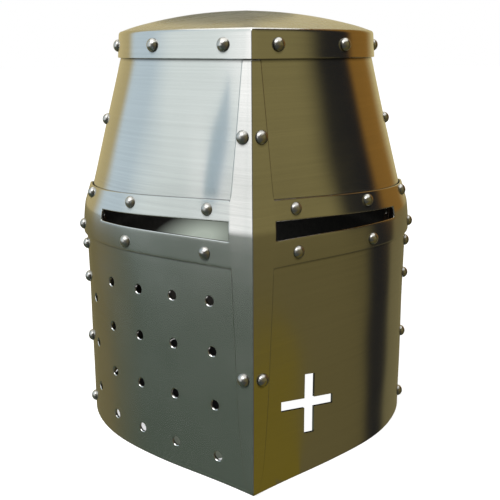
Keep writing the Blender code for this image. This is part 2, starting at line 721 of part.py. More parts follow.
def liner_tongue(name, centre, finish):
    """Tongue sewn inside the band's upper edge, arching up to the apex and narrowing on the way.

    Its arch is measured from the skull at each height, so that it stays inside the leaning plates.
    """
    depth = LEATHER + CLEARANCE
    across = spread(-1, 1, 3)

    def skull_point(distance, z):
        return band_point(distance, z - band_low(abs(distance)), depth)

    foot = band_point(centre, BAND_HEIGHT, depth)
    outward = Vector((foot.x, foot.y - APEX_Y, 0)).normalized()
    sideways = Vector((-outward.y, outward.x, 0))
    tip = Vector((0, APEX_Y, 0)) + TONGUE_TIP_RADIUS * outward
    rows = []
    for height in (BAND_HEIGHT - TONGUE_LAP, BAND_HEIGHT - TONGUE_LAP / 2):
        rows.append([band_point(centre + u * TONGUE_BASE_HALF, height, depth) for u in across])
    for turn in spread(0, math.pi / 2, 5):
        share = math.cos(turn)
        row = []
        for u in across:
            half = TONGUE_TIP_HALF + (TONGUE_BASE_HALF - TONGUE_TIP_HALF) * share
            edge = band_low(abs(centre + u * half)) + BAND_HEIGHT
            z = edge + (APEX_Z - edge) * math.sin(turn)
            start = skull_point(centre + u * half, z)
            end = tip + u * TONGUE_TIP_HALF * sideways
            end.z = z
            row.append(end.lerp(start, share))
        rows.append(row)
    return sheet(name, [rows], LEATHER, finish)


def apex_disc(finish):
    bm = bmesh.new()
    middle = Vector((0, APEX_Y, APEX_Z + CLEARANCE + LEATHER / 2))
    bmesh.ops.create_cone(bm, cap_ends=True, segments=DISC_SIDES, radius1=APEX_DISC_RADIUS,
                          radius2=APEX_DISC_RADIUS, depth=LEATHER, matrix=Matrix.Translation(middle))
    return add_object("liner_apex_disc", bm, finish)


# Chin strap
def strap_anchor_x():
    """Half distance between the strap ends: clear of the wall wherever the round end can turn to."""
    reach = STRAP_WIDTH / 2 + TAIL_HEIGHT
    wall = []
    for k in range(16):
        turn = math.tau * k / 16
        station = station_at(WIDEST_S + reach * math.cos(turn))
        z = BACK_ROW_Z + reach * math.sin(turn)
        wall.append(shell_point(station, z, TUCK_LIFT - PLATE).x)
    return min(wall) - 2 * CLEARANCE


STRAP_ANCHOR_X = strap_anchor_x()
STRAP_AXIS = Vector((0, master_point(1.0, BACK_ROW_Z).y, BACK_ROW_Z))


def strap_point(turn, rise=0.0, y=0.0):
    """Point on the hanging strap's outer face, as seen from its axis; turn 0 is the left end."""
    across = STRAP_ANCHOR_X * math.cos(turn)
    down = STRAP_DROP * math.sin(turn)
    inward = Vector((-math.cos(turn) / STRAP_ANCHOR_X, 0, math.sin(turn) / STRAP_DROP)).normalized()
    return Vector((across, y, -down)) + rise * inward


def strap_rise(turn):
    """The long strap rises off the shared curve to lie inside the buckle strap."""
    return STRAP_OVERLAP_RISE * ease(turn, STRAP_RISE_FROM, STRAP_RISE_TO)


def round_end_rows(side):
    """Rows of the round riveted end, above the strap's axis."""
    half = STRAP_WIDTH / 2
    rows = []
    for turn in ROUND_END_TURNS:
        width = half * math.cos(turn)
        height = half * math.sin(turn)
        rows.append([Vector((side * STRAP_ANCHOR_X, y, height)) for y in spread(-width, width, 2)])
    return rows


def strap_rows(turns, rise, half_width):
    rows = []
    for turn in turns:
        half = half_width(turn)
        rows.append([strap_point(turn, rise(turn), y) for y in spread(-half, half, 2)])
    return rows


def hang(made, axis):
    """Hang a piece on the strap axis; its mesh is already measured from there."""
    made.parent = axis
    return made


def buckle_frame_matrix():
    """Local frame at the buckle's hinge bar: X along the strap to the tip, Y inwards, Z across the strap."""
    along = (strap_point(BUCKLE_ANGLE + 0.01) - strap_point(BUCKLE_ANGLE - 0.01)).normalized()
    across = Vector((0, 1, 0))
    inward = across.cross(along).normalized()
    if inward.dot(strap_point(BUCKLE_ANGLE, 1.0) - strap_point(BUCKLE_ANGLE)) < 0:
        inward, across = -inward, -across
    centre = strap_point(BUCKLE_ANGLE, LEATHER / 2)
    turn = Matrix((along, inward, across)).transposed().to_4x4()
    return Matrix.Translation(centre) @ turn


BAR = BUCKLE_WIRE / 2
LOOP_RADIUS = BAR + CLEARANCE + LOOP_WALL
STRAP_RUN_OUT = math.radians(4)


def front_bar(frame):
    """Place of the front bar over the long strap, in the buckle's own frame."""
    turn = BUCKLE_ANGLE - BUCKLE_LENGTH / STRAP_ANCHOR_X
    return frame.inverted() @ strap_point(turn, STRAP_OVERLAP_RISE + LEATHER + BAR + 2 * CLEARANCE)


def cylinder_on_bar(name, radius, length, frame):
    bm = bmesh.new()
    bmesh.ops.create_cone(bm, cap_ends=True, segments=BAR_SIDES, radius1=radius, radius2=radius,
                          depth=length, matrix=frame)
    return add_object(name, bm)


def box_between(name, frame, low, high):
    bm = bmesh.new()
    size = Vector(high) - Vector(low)
    middle = Matrix.Translation((Vector(high) + Vector(low)) / 2)
    bmesh.ops.create_cube(bm, size=1, matrix=frame @ middle @ Matrix.Diagonal(size.to_4d()))
    return add_object(name, bm)


def prong_frame(frame):
    """Frame on the hinge bar whose X axis points at the rest over the front bar."""
    bar = front_bar(frame)
    rest = bar.y + BAR + 2 * CLEARANCE + PRONG_THICKNESS / 2
    return frame @ Matrix.Rotation(math.atan2(rest, bar.x), 4, "Z")


def chin_straps(leather, axis, frame, holes):
    half = STRAP_WIDTH / 2

    def blunt_tip(turn):
        start = STRAP_TIP_ANGLE - STRAP_TIP_RUN
        return half * (1 - STRAP_TIP_NARROWING * ease(turn, start, STRAP_TIP_ANGLE))

    turns = spread(0, STRAP_TIP_ANGLE, LONG_STRAP_ROWS)
    rows = round_end_rows(1) + strap_rows(turns, strap_rise, blunt_tip)
    long_strap = hang(sheet("chin_strap_long", [rows[::-1]], LEATHER, leather), axis)
    cut(long_strap, holes)
    pin = PRONG_WIDTH / 2 + 2 * CLEARANCE
    slot = box_between("prong_slot", prong_frame(frame),
                       (LOOP_RADIUS, -PRONG_THICKNESS, -pin), (BUCKLE_LENGTH, PRONG_THICKNESS, pin))
    hang(slot, axis)
    cut(long_strap, slot)

    turns = spread(math.pi, BUCKLE_ANGLE + STRAP_RUN_OUT, SHORT_STRAP_ROWS)
    rows = round_end_rows(-1) + strap_rows(turns, lambda turn: 0.0, lambda turn: half)
    short_strap = hang(sheet("chin_strap_short", [rows], LEATHER, leather), axis)
    loop = hang(cylinder_on_bar("strap_loop", LOOP_RADIUS, STRAP_WIDTH, frame), axis)
    tongue = hang(box_between("strap_loop_neck", frame, (0, -LEATHER / 2, -half),
                              (LOOP_NECK, LEATHER / 2, half)), axis)
    bore = hang(cylinder_on_bar("strap_loop_bore", BAR + CLEARANCE, 2 * STRAP_WIDTH, frame), axis)
    gap = hang(box_between("strap_loop_gap", frame, (-3 * LOOP_RADIUS, -3 * LOOP_RADIUS, -pin),
                           (LOOP_RADIUS + CLEARANCE, 3 * LOOP_RADIUS, pin)), axis)
    cut(short_strap, holes)
    cut(short_strap, tongue, "UNION")
    cut(short_strap, loop, "UNION")
    cut(short_strap, bore)
    cut(short_strap, gap)


def chin_buckle(finish, axis, frame):
    """Wire frame with round corners, tilted from the hinge bar up over the long strap."""
    bar = front_bar(frame)
    long_half = bar.length / 2
    wide_half = STRAP_WIDTH / 2 + BUCKLE_SIDE_GAP + BAR
    ring = frame @ Matrix.Rotation(math.atan2(bar.y, bar.x), 4, "Z") @ Matrix.Translation((long_half, 0, 0))
    corner = BUCKLE_WIRE
    curve = bpy.data.curves.new("chin_buckle", "CURVE")
    curve.dimensions = "3D"
    curve.bevel_depth = BAR
    curve.bevel_resolution = 1
    points = []
    for a, b, start in ((1, 1, 0), (-1, 1, 1), (-1, -1, 2), (1, -1, 3)):
        for k in range(4):
            turn = (start + k / 3) * math.pi / 2
            points.append(ring @ Vector((a * (long_half - corner) + corner * math.cos(turn), 0,
                                         b * (wide_half - corner) + corner * math.sin(turn))))
    spline = curve.splines.new("POLY")
    spline.points.add(len(points) - 1)
    for slot, point in zip(spline.points, points):
        slot.co = (*point, 1)
    spline.use_cyclic_u = True
    curve.materials.append(finish)
    made = bpy.data.objects.new("chin_buckle", curve)
    bpy.context.collection.objects.link(made)
    return hang(made, axis)


def buckle_prong(finish, axis, frame):
    """Flat pin with an eye on the hinge bar, lying through the long strap onto the front bar."""
    reach = front_bar(frame).length + BUCKLE_WIRE
    lie = prong_frame(frame)
    bm = bmesh.new()
    bmesh.ops.create_cone(bm, cap_ends=True, segments=BAR_SIDES, radius1=LOOP_RADIUS,
                          radius2=LOOP_RADIUS, depth=PRONG_WIDTH, matrix=lie)
    made = hang(add_object("buckle_prong", bm, finish), axis)
    pin = hang(box_between("prong_pin", lie, (0, -PRONG_THICKNESS / 2, -PRONG_WIDTH / 2),
                           (reach, PRONG_THICKNESS / 2, PRONG_WIDTH / 2)), axis)
    eye = hang(cylinder_on_bar("prong_eye", BAR + CLEARANCE, 2 * PRONG_WIDTH, lie), axis)
    cut(made, pin, "UNION")
    cut(made, eye)
    return made


def strap_keeper(finish, axis):
    """Leather loop round both straps."""
    low = -CLEARANCE - KEEPER_WALL
    high = STRAP_OVERLAP_RISE + LEATHER + CLEARANCE + KEEPER_WALL
    side = STRAP_WIDTH / 2 + CLEARANCE + KEEPER_WALL
    swing = KEEPER_WIDTH / 2 / STRAP_DROP
    rows = []
    for turn in spread(KEEPER_ANGLE - swing, KEEPER_ANGLE + swing, 2):
        ring = [(low, -side), (high, -side), (high, side), (low, side), (low, -side)]
        rows.append([strap_point(turn, rise, y) for rise, y in ring])
    return hang(sheet("strap_keeper", [rows], KEEPER_WALL, finish), axis)


def clear_scene():
    for old in list(bpy.data.objects):
        bpy.data.objects.remove(old, do_unlink=True)


def build():
    clear_scene()
    steel = material("brushed_steel", (0.52, 0.52, 0.49), 1.0, 0.3)
    rivet_steel = material("rivet_steel", (0.36, 0.35, 0.33), 1.0, 0.35)
    leather = material("liner_leather", (0.19, 0.10, 0.05), 0.0, 0.65)
    strap_leather = material("strap_leather", (0.13, 0.065, 0.035), 0.0, 0.55)
    iron = material("buckle_steel", (0.45, 0.43, 0.40), 1.0, 0.35)

    rivets = all_rivets()
    holes = rivet_hole_cutter(rivets)
    face = face_plate(steel)
    cut(face, vent_cutter())
    cut(face, cross_cutter())
    plates = [face, skull_front_plate(steel), skull_back_plate(steel), nape_plate(steel),
              sight_plate(steel), crown_plate(steel), head_band(leather)]
    for plate in plates:
        cut(plate, holes)
    add_rivets(rivets, rivet_steel)

    pitch = RIM_HALF_ARC / TONGUES_PER_SIDE
    for side, tag in ((-1, "right"), (1, "left")):
        for k in range(TONGUES_PER_SIDE):
            liner_tongue(f"liner_tongue_{tag}_{k + 1}", side * (k + 0.5) * pitch, leather)
    apex_disc(leather)

    axis = bpy.data.objects.new("chin_strap_axis", None)
    axis.location = STRAP_AXIS
    bpy.context.collection.objects.link(axis)
    frame = buckle_frame_matrix()
    chin_straps(strap_leather, axis, frame, holes)
    chin_buckle(iron, axis, frame)
    buckle_prong(iron, axis, frame)
    strap_keeper(strap_leather, axis)
    print(f"rivets {len(rivets)}, rim half arc {RIM_HALF_ARC:.4f} m, strap axis {tuple(STRAP_AXIS)}")


build()
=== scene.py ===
# %% [markdown]
# # A riveted great helm in brushed steel
# The helm is six steel plates, forty-one dome rivets, a leather liner and a buckled chin strap.
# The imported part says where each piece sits. This lesson gives each piece its real surface: sheets with
# softened edges, hammered rivets, brushed steel that mirrors a room, and leather with grain and stitches.

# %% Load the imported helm
import math
import random
from collections import namedtuple

import bmesh
import bpy
import numpy as np
from mathutils import Matrix, Vector


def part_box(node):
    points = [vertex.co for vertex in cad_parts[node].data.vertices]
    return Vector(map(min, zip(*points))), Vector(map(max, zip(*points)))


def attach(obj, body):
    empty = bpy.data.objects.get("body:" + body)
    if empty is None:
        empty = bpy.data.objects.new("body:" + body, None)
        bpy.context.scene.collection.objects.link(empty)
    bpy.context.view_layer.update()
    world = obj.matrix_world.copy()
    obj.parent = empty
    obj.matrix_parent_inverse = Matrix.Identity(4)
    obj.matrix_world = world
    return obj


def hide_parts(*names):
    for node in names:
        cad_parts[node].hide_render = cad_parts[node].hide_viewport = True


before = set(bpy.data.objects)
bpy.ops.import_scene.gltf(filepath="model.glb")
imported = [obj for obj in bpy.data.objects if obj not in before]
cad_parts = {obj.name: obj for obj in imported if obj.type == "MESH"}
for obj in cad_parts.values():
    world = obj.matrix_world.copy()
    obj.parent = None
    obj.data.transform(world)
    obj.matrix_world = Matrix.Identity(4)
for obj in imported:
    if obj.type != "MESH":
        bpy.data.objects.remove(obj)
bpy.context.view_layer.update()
scene = bpy.context.scene
scene.view_settings.view_transform = "Standard"

# %% [markdown]
# ## Camera
# The photograph looks down a little on the ridge of the face, from half a metre away. A matrix built from
# the three directions right, up and back places the camera without any aiming constraint.

# %% Camera
CAMERA_PLACE = Vector((-0.0132, -0.5427, 0.2570))
CAMERA_PITCH, CAMERA_YAW, CAMERA_ROLL = (math.radians(a) for a in (-14.73, 1.66, -0.21))
FOCAL_PIXELS, IMAGE_PIXELS = 765.8, 500

ahead = Vector((math.sin(CAMERA_YAW) * math.cos(CAMERA_PITCH),
                math.cos(CAMERA_YAW) * math.cos(CAMERA_PITCH), math.sin(CAMERA_PITCH)))
level = Vector((math.cos(CAMERA_YAW), -math.sin(CAMERA_YAW), 0))
roll = Matrix.Rotation(CAMERA_ROLL, 3, -ahead)
right, up = roll @ level, roll @ level.cross(ahead)

camera = bpy.data.objects.new("camera", bpy.data.cameras.new("camera"))
camera.data.lens = FOCAL_PIXELS / IMAGE_PIXELS * camera.data.sensor_width
camera.matrix_world = (Matrix.Translation(CAMERA_PLACE)
                       @ Matrix((right, up, -ahead)).transposed().to_4x4())
scene.collection.objects.link(camera)
scene.camera = camera
print("lens", round(camera.data.lens, 2), "mm")

# %% [markdown]
# ## The shell that all plates follow
# A smith cuts the plates flat and rolls them. The same idea works here: a flat pattern has a distance s
# along the rim from the ridge, a height z, and a lift off the outer face of the front plates. One formula
# rolls the pattern. It blends the rim's plan outline into the smaller outline under the crown, with a
# rounded bend between barrel and cone. numpy rolls all points of a plate at once.

# %% Plan outlines and heights
PLATE, LEATHER, CLEARANCE = 0.0016, 0.0024, 0.0003
LAYER = PLATE + CLEARANCE
BARREL_TAPER = 0.0345
BEND_Z, BEND_HALF = 0.145, 0.012
FLANGE_EDGE_Z, FLANGE_HEIGHT, FLANGE_LEAN = 0.2516, 0.0164, 0.0013
FOLD_Z = FLANGE_EDGE_Z + FLANGE_HEIGHT

Outline = namedtuple("Outline", "half_width ridge_reach back_reach widest_y angle ridge_pull cheek_pull")
RIM = Outline(0.115, 0.1406, 0.1446, 0.0096, math.radians(40.4), 0.0687, 0.0793)
TOP = Outline(0.0845, 0.1294, 0.1200, 0.0100, math.radians(38.7), 0.0700, 0.0800)


def outline_points(outline, station):
    """Plan points: station 0 is the ridge, 1 the widest place, 2 the back, and below 0 lies -X."""
    t = np.abs(station)
    q = np.minimum(t, 1)
    turn = np.clip(t - 1, 0, 1) * math.pi / 2
    leave, arrive, end = 3 * (1 - q) ** 2 * q, 3 * (1 - q) * q ** 2, q ** 3
    front_x = leave * outline.ridge_pull * math.cos(outline.angle) + (arrive + end) * outline.half_width
    front_y = (leave * outline.ridge_pull * math.sin(outline.angle) + (arrive + end) * outline.widest_y
               - ((1 - q) ** 3 + leave) * outline.ridge_reach - arrive * outline.cheek_pull)
    back_y = outline.widest_y + (outline.back_reach - outline.widest_y) * np.sin(turn)
    x = np.where(t > 1, outline.half_width * np.cos(turn), front_x)
    return np.where(station < 0, -x, x), np.where(t > 1, back_y, front_y)


OUTLINE_SAMPLES = 400
arc_stations = np.linspace(0, 2, OUTLINE_SAMPLES + 1)
arc_x, arc_y = outline_points(RIM, arc_stations)
arc_lengths = np.concatenate(((0,), np.cumsum(np.hypot(np.diff(arc_x), np.diff(arc_y)))))
HALF_ARC = float(arc_lengths[-1])
WIDEST_S = float(arc_lengths[OUTLINE_SAMPLES // 2])
print("rim, ridge to back", round(HALF_ARC, 4), "m; widest at", round(WIDEST_S, 4), "m")


# %% Roll a flat pattern onto the shell
STEP_ALONG, STEP_UP, FOLD_NEAR = 0.001, 0.0001, 0.000001
WAVE_HEIGHT, WAVES = 0.00007, ((9, 60, 0), (4, -95, 1), (14, 30, 2))


def master_points(station, z):
    """Points on the outer face of the front plates."""
    rise = z - BEND_Z
    soft = np.clip(rise + BEND_HALF, 0, 2 * BEND_HALF) ** 2 / (4 * BEND_HALF)
    ramp = np.where(rise < BEND_HALF, soft, rise) / (FLANGE_EDGE_Z - BEND_Z)
    taper = (1 - BARREL_TAPER * np.minimum(z, BEND_Z)) * (1 - ramp)
    low, high = outline_points(RIM, station), outline_points(TOP, station)
    return np.stack((low[0] * taper + high[0] * ramp, low[1] * taper + high[1] * ramp, z), -1)


def shell_normals(station, z):
    """Outward normals; on the ridge and the back line they are mitres of the two sides."""
    t = np.abs(station)
    along = master_points(np.minimum(t + STEP_ALONG, 2), z) - master_points(np.maximum(t - STEP_ALONG, 0), z)
    rising = master_points(t, z + STEP_UP) - master_points(t, z - STEP_UP)
    normal = np.cross(along, rising)
    normal /= np.linalg.norm(normal, axis=-1, keepdims=True)
    fold = (t < FOLD_NEAR) | (t > 2 - FOLD_NEAR)
    normal[fold, 0] = 0
    normal[fold] /= (normal[fold] ** 2).sum(-1, keepdims=True)
    normal[:, 0] *= np.where(station < 0, -1, 1)
    return normal


def station_of(s):
    """Stations at signed distances from the ridge; past the back line they count on from the other side."""
    s = np.where(s > HALF_ARC, s - 2 * HALF_ARC, s)
    return np.sign(s) * np.interp(np.abs(s), arc_lengths, arc_stations)


def shell(s, z, lift):
    """Points of a flat pattern rolled onto the shell, with the faint waves that planishing leaves."""
    s, z, lift = (np.array(a, float) for a in np.broadcast_arrays(s, z, lift))
    station = station_of(s)
    turn = station * math.pi / 2
    wave = sum(np.sin(round_helm * turn + upwards * z + start) for round_helm, upwards, start in WAVES)
    raised = lift + WAVE_HEIGHT * wave
    return master_points(station, z) + raised[:, None] * shell_normals(station, z)


def ease(value, start, end):
    """Smooth step from 0 at start to 1 at end."""
    t = np.clip((value - start) / (end - start), 0, 1)
    return t * t * (3 - 2 * t)


print("ridge at the rim", shell([0.0], [0.0], [0.0]).round(4))

# %% [markdown]
# ## Shader groups
# Four effects are shared by several finishes, so each is a node group. Brush lines are noise stretched
# along the brushing. Handling marks are cloudy, slow noise that dulls the metal in patches. Seam shade is
# painted shade: a dark line beside laps and rivets, in the corners that an Ambient Occlusion node finds. It
# looks a little upwards, so the painted shade gathers under a lap and its upper edge stays light. Leather
# grain is a pebbled Voronoi pattern. Every group puts out plain values, and the shader stays in the material.

# %% Helpers for nodes
def node_group(name, inputs, outputs):
    """Empty shader group with its sockets; inputs and outputs are (socket type, name, value) rows."""
    group = bpy.data.node_groups.new(name, "ShaderNodeTree")
    for direction, rows in (("INPUT", inputs), ("OUTPUT", outputs)):
        for kind, label, value in rows:
            socket = group.interface.new_socket(label, in_out=direction, socket_type=f"NodeSocket{kind}")
            if value is not None:
                socket.default_value = value
    return group, group.nodes.new("NodeGroupInput"), group.nodes.new("NodeGroupOutput")


def add_node(tree, kind, settings=(), **links):
    """Node with settings as (property, value) rows; links name an input and give a value or a socket."""
    node = tree.nodes.new(f"ShaderNode{kind}")
    for label, value in settings:
        setattr(node, label, value)
    for label, value in links.items():
        socket = node.inputs[int(label[1:])] if label[1:].isdigit() else node.inputs[label.replace("_", " ")]
        if isinstance(value, bpy.types.NodeSocket):
            tree.links.new(value, socket)
        else:
            socket.default_value = value
    return node


def maths(tree, operation, first, second=0.0, third=0.0):
    return add_node(tree, "Math", [("operation", operation)], i0=first, i1=second, i2=third).outputs[0]


def remap(tree, value, low, high, new_low=0.0, new_high=1.0):
    return add_node(tree, "MapRange", i0=value, i1=low, i2=high, i3=new_low, i4=new_high).outputs[0]


def vector_maths(tree, operation, first, second=(0, 0, 0)):
    return add_node(tree, "VectorMath", [("operation", operation)], i0=first, i1=second).outputs[0]


def noise_value(tree, vector, scale, detail, roughness=0.5):
    return add_node(tree, "TexNoise", Vector=vector, Scale=scale, Detail=detail,
                    Roughness=roughness).outputs[0]


print("node helpers ready")


# %% Brush lines, handling marks, painted seam shade and leather grain
LOOK_UP = (0, 0, 0.6)


def brush_lines_group():
    group, take, give = node_group(
        "brush_lines",
        [("Vector", "Place", None), ("Vector", "Stretch", (18, 18, 900))],
        [("Float", "Shade", None), ("Float", "Height", None)])
    across = vector_maths(group, "MULTIPLY", take.outputs["Place"], take.outputs["Stretch"])
    fine = noise_value(group, across, 1.0, 3.0, 0.7)
    broad = noise_value(group, across, 0.3, 2.0, 0.6)
    both = maths(group, "MULTIPLY_ADD", broad, 0.35, maths(group, "MULTIPLY", fine, 0.65))
    group.links.new(remap(group, both, 0.3, 0.7), give.inputs["Shade"])
    group.links.new(fine, give.inputs["Height"])
    return group


def handling_group():
    group, take, give = node_group(
        "handling_marks",
        [("Vector", "Place", None), ("Float", "Scale", 22.0)],
        [("Float", "Dulling", None), ("Float", "Tint", None)])
    clouds = noise_value(group, take.outputs["Place"], take.outputs["Scale"], 4.0, 0.6)
    wide = maths(group, "MULTIPLY", take.outputs["Scale"], 0.35)
    slow = noise_value(group, take.outputs["Place"], wide, 2.0)
    group.links.new(remap(group, clouds, 0.42, 0.75), give.inputs["Dulling"])
    group.links.new(remap(group, slow, 0.3, 0.7), give.inputs["Tint"])
    return group


# Painted shade: darkens the corners beside laps and rivets that Ambient Occlusion finds, looking a little
# upwards so that it falls under laps.
def painted_seam_shade_group():
    group, take, give = node_group(
        "painted_seam_shade", [("Float", "Reach", 0.002)], [("Float", "Painted_shade", None)])
    raised = vector_maths(group, "ADD", add_node(group, "NewGeometry").outputs["Normal"], LOOK_UP)
    corner = add_node(group, "AmbientOcclusion", [("samples", 12)], Distance=take.outputs["Reach"],
                      Normal=vector_maths(group, "NORMALIZE", raised))
    group.links.new(remap(group, corner.outputs["AO"], 0.42, 0.84, 1.0, 0.0), give.inputs["Painted_shade"])
    return group


def leather_grain_group():
    group, take, give = node_group(
        "leather_grain",
        [("Vector", "Place", None), ("Float", "Pebbles", 900.0)],
        [("Float", "Height", None), ("Float", "Shade", None), ("Float", "Rubbed", None)])
    pebble = add_node(group, "TexVoronoi", [("feature", "SMOOTH_F1")], Vector=take.outputs["Place"],
                      Scale=take.outputs["Pebbles"], Smoothness=0.6).outputs[0]
    crease = noise_value(group, take.outputs["Place"], 160.0, 5.0, 0.65)
    height = maths(group, "MULTIPLY_ADD", pebble, -0.6, crease)
    clouds = noise_value(group, take.outputs["Place"], 35.0, 4.0, 0.6)
    group.links.new(height, give.inputs["Height"])
    group.links.new(remap(group, clouds, 0.3, 0.7), give.inputs["Shade"])
    group.links.new(remap(group, crease, 0.5, 0.7), give.inputs["Rubbed"])
    return group


BRUSH_LINES, HANDLING = brush_lines_group(), handling_group()
SEAM_SHADE, LEATHER_GRAIN = painted_seam_shade_group(), leather_grain_group()
print("groups", [group.name for group in (BRUSH_LINES, HANDLING, SEAM_SHADE, LEATHER_GRAIN)])

# %% [markdown]
# ## Brushed steel
# The plates were brushed sideways, so each tiny groove runs round the helm. Grooves blur a reflection
# across themselves: bands stay sharp from left to right and smear up and down. The Anisotropic socket does
# that, with a tangent that runs round the Z axis, turned a quarter so that the wide blur is upright.
# Stretched noise adds the lines that the eye can pick out, and handling marks dull the metal in patches.

# %% Helpers for materials
def material_tree(name):
    """New material with its shader, its Object coordinates and its tree."""
    made = bpy.data.materials.new(name)
    made.use_nodes = True
    tree = made.node_tree
    place = add_node(tree, "TexCoord").outputs["Object"]
    return made, tree, tree.nodes["Principled BSDF"], place


def mix_colour(tree, share, first, second):
    made = add_node(tree, "Mix", [("data_type", "RGBA")], i0=share)
    for socket, value in ((made.inputs[6], first), (made.inputs[7], second)):
        if isinstance(value, bpy.types.NodeSocket):
            tree.links.new(value, socket)
        else:
            socket.default_value = (*value, 1)
    return made.outputs[2]


def group_node(tree, group, **links):
    return add_node(tree, "Group", [("node_tree", group)], **links).outputs


print("material helpers ready")

# %% Steel finishes
# Painted shade: the near-black colour that corners and the strip's edge line are darkened towards.
PAINTED_SHADE_COLOUR, PAINTED_SHADE_REACH = (0.03, 0.03, 0.028), 0.0026
EDGE_SHADE_LINE = "painted_edge_shade"


def steel_finish(name, light, dark, roughness, stretch, anisotropy=0.0, line_depth=0.000008, dulling=0.03,
                 painted_shade=0.85):
    """Steel with brush lines; light and dark are the two colours that the lines run between."""
    made, tree, shader, place = material_tree(name)
    lines = group_node(tree, BRUSH_LINES, Place=place, Stretch=stretch)
    marks = group_node(tree, HANDLING, Place=place)
    lined = mix_colour(tree, lines["Shade"], dark, light)
    tinted = mix_colour(tree, maths(tree, "MULTIPLY", marks["Tint"], 0.25), lined,
                        tuple(0.9 * c for c in light))
    edge_shade = add_node(tree, "Attribute", [("attribute_name", EDGE_SHADE_LINE)]).outputs["Fac"]
    # Painted shade in the base colour: corners found by Ambient Occlusion and the line along the strip's
    # edges.
    shade_mask = maths(tree, "MAXIMUM", group_node(tree, SEAM_SHADE, Reach=PAINTED_SHADE_REACH)["Painted_shade"],
                 remap(tree, edge_shade, 0.35, 0.9))
    shaded_colour = mix_colour(tree, maths(tree, "MULTIPLY", shade_mask, painted_shade), tinted, PAINTED_SHADE_COLOUR)
    tree.links.new(shaded_colour, shader.inputs["Base Color"])
    rough = remap(tree, lines["Shade"], 0.0, 1.0, roughness * 1.12, roughness * 0.92)
    dulled = maths(tree, "MULTIPLY_ADD", marks["Dulling"], dulling, rough)
    tree.links.new(dulled, shader.inputs["Roughness"])
    bump = add_node(tree, "Bump", Height=lines["Height"], Strength=1.0, Distance=line_depth)
    tree.links.new(bump.outputs[0], shader.inputs["Normal"])
    shader.inputs["Metallic"].default_value = 1.0
    if anisotropy:
        shader.inputs["Anisotropic"].default_value = anisotropy
        shader.inputs["Anisotropic Rotation"].default_value = 0.25
        tangent = add_node(tree, "Tangent", [("direction_type", "RADIAL"), ("axis", "Z")])
        tree.links.new(tangent.outputs[0], shader.inputs["Tangent"])
    return made


LEVEL_LINES, CROSS_LINES, NO_LINES = (9, 9, 1300), (9, 1300, 9), (260, 260, 260)
plate_steel = steel_finish("brushed_plate", (0.60, 0.60, 0.585), (0.54, 0.54, 0.525), 0.18, LEVEL_LINES,
                           anisotropy=0.80)
dome_steel = steel_finish("brushed_dome", (0.60, 0.60, 0.58), (0.53, 0.53, 0.51), 0.26, CROSS_LINES)
rivet_steel = steel_finish("hammered_rivet", (0.50, 0.495, 0.475), (0.34, 0.335, 0.32), 0.24, NO_LINES,
                           line_depth=0.00010, dulling=0.15, painted_shade=0.6)
inside_steel = steel_finish("blackened_inside", (0.16, 0.155, 0.15), (0.10, 0.10, 0.10), 0.55, NO_LINES,
                            painted_shade=0.0)
print("steel finishes", plate_steel.name, dome_steel.name, rivet_steel.name)

# %% [markdown]
# ## From a flat pattern to a finished sheet
# A grid is the flat pattern. Rolling moves its points, Solidify gives the sheet its thickness inwards, and
# a small Bevel breaks the edges as a file would, so that they catch the light. The modifiers are applied,
# and a Weighted Normal step keeps the broad faces calm beside the narrow bevels.

# %% Helpers for meshes
MERGE = 0.000001
SHARP_ANGLE = math.radians(38)


def add_grid(bm, columns, rows, place):
    """Adds a grid and moves its points to place(u, v), where u and v are arrays from 0 to 1."""
    verts = bmesh.ops.create_grid(bm, x_segments=columns, y_segments=rows, size=0.5)["verts"]
    flat = np.array([vert.co for vert in verts])
    for vert, point in zip(verts, place(flat[:, 0] + 0.5, flat[:, 1] + 0.5)):
        vert.co = point


def rolled_grid(columns, rows, place):
    bm = bmesh.new()
    add_grid(bm, columns, rows, place)
    return bm


def settle(piece):
    """Applies a piece's modifiers, so that its finished mesh is what rides on the body."""
    rolled = piece.data
    graph = bpy.context.evaluated_depsgraph_get()
    piece.data = bpy.data.meshes.new_from_object(piece.evaluated_get(graph))
    piece.modifiers.clear()
    bpy.data.meshes.remove(rolled)


def add_object(name, bm, finishes):
    mesh = bpy.data.meshes.new(name)
    bm.to_mesh(mesh)
    bm.free()
    for finish in finishes:
        mesh.materials.append(finish)
    made = bpy.data.objects.new(name, mesh)
    scene.collection.objects.link(made)
    return made


def smooth_faces(piece):
    piece.data.shade_smooth()
    piece.data.set_sharp_from_angle(angle=SHARP_ANGLE)
    calm = piece.modifiers.new("calm normals", "WEIGHTED_NORMAL")
    calm.keep_sharp = True


print("mesh helpers ready")

# %% Helpers for finished pieces
EDGE_BREAK, BREAK_ANGLE = 0.00045, math.radians(40)


def dress(piece, node, body="root"):
    """Hangs a piece on the body that it rides on and hides the imported node that it stands for."""
    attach(piece, body)
    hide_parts(node)
    print(piece.name, len(piece.data.polygons), "faces")
    return piece


def make_solid(node, bm, finish, body="root", suffix="steel"):
    """Piece with one finish all over, from a closed bmesh."""
    piece = add_object(f"{node}_{suffix}", bm, [finish])
    smooth_faces(piece)
    return dress(piece, node, body)


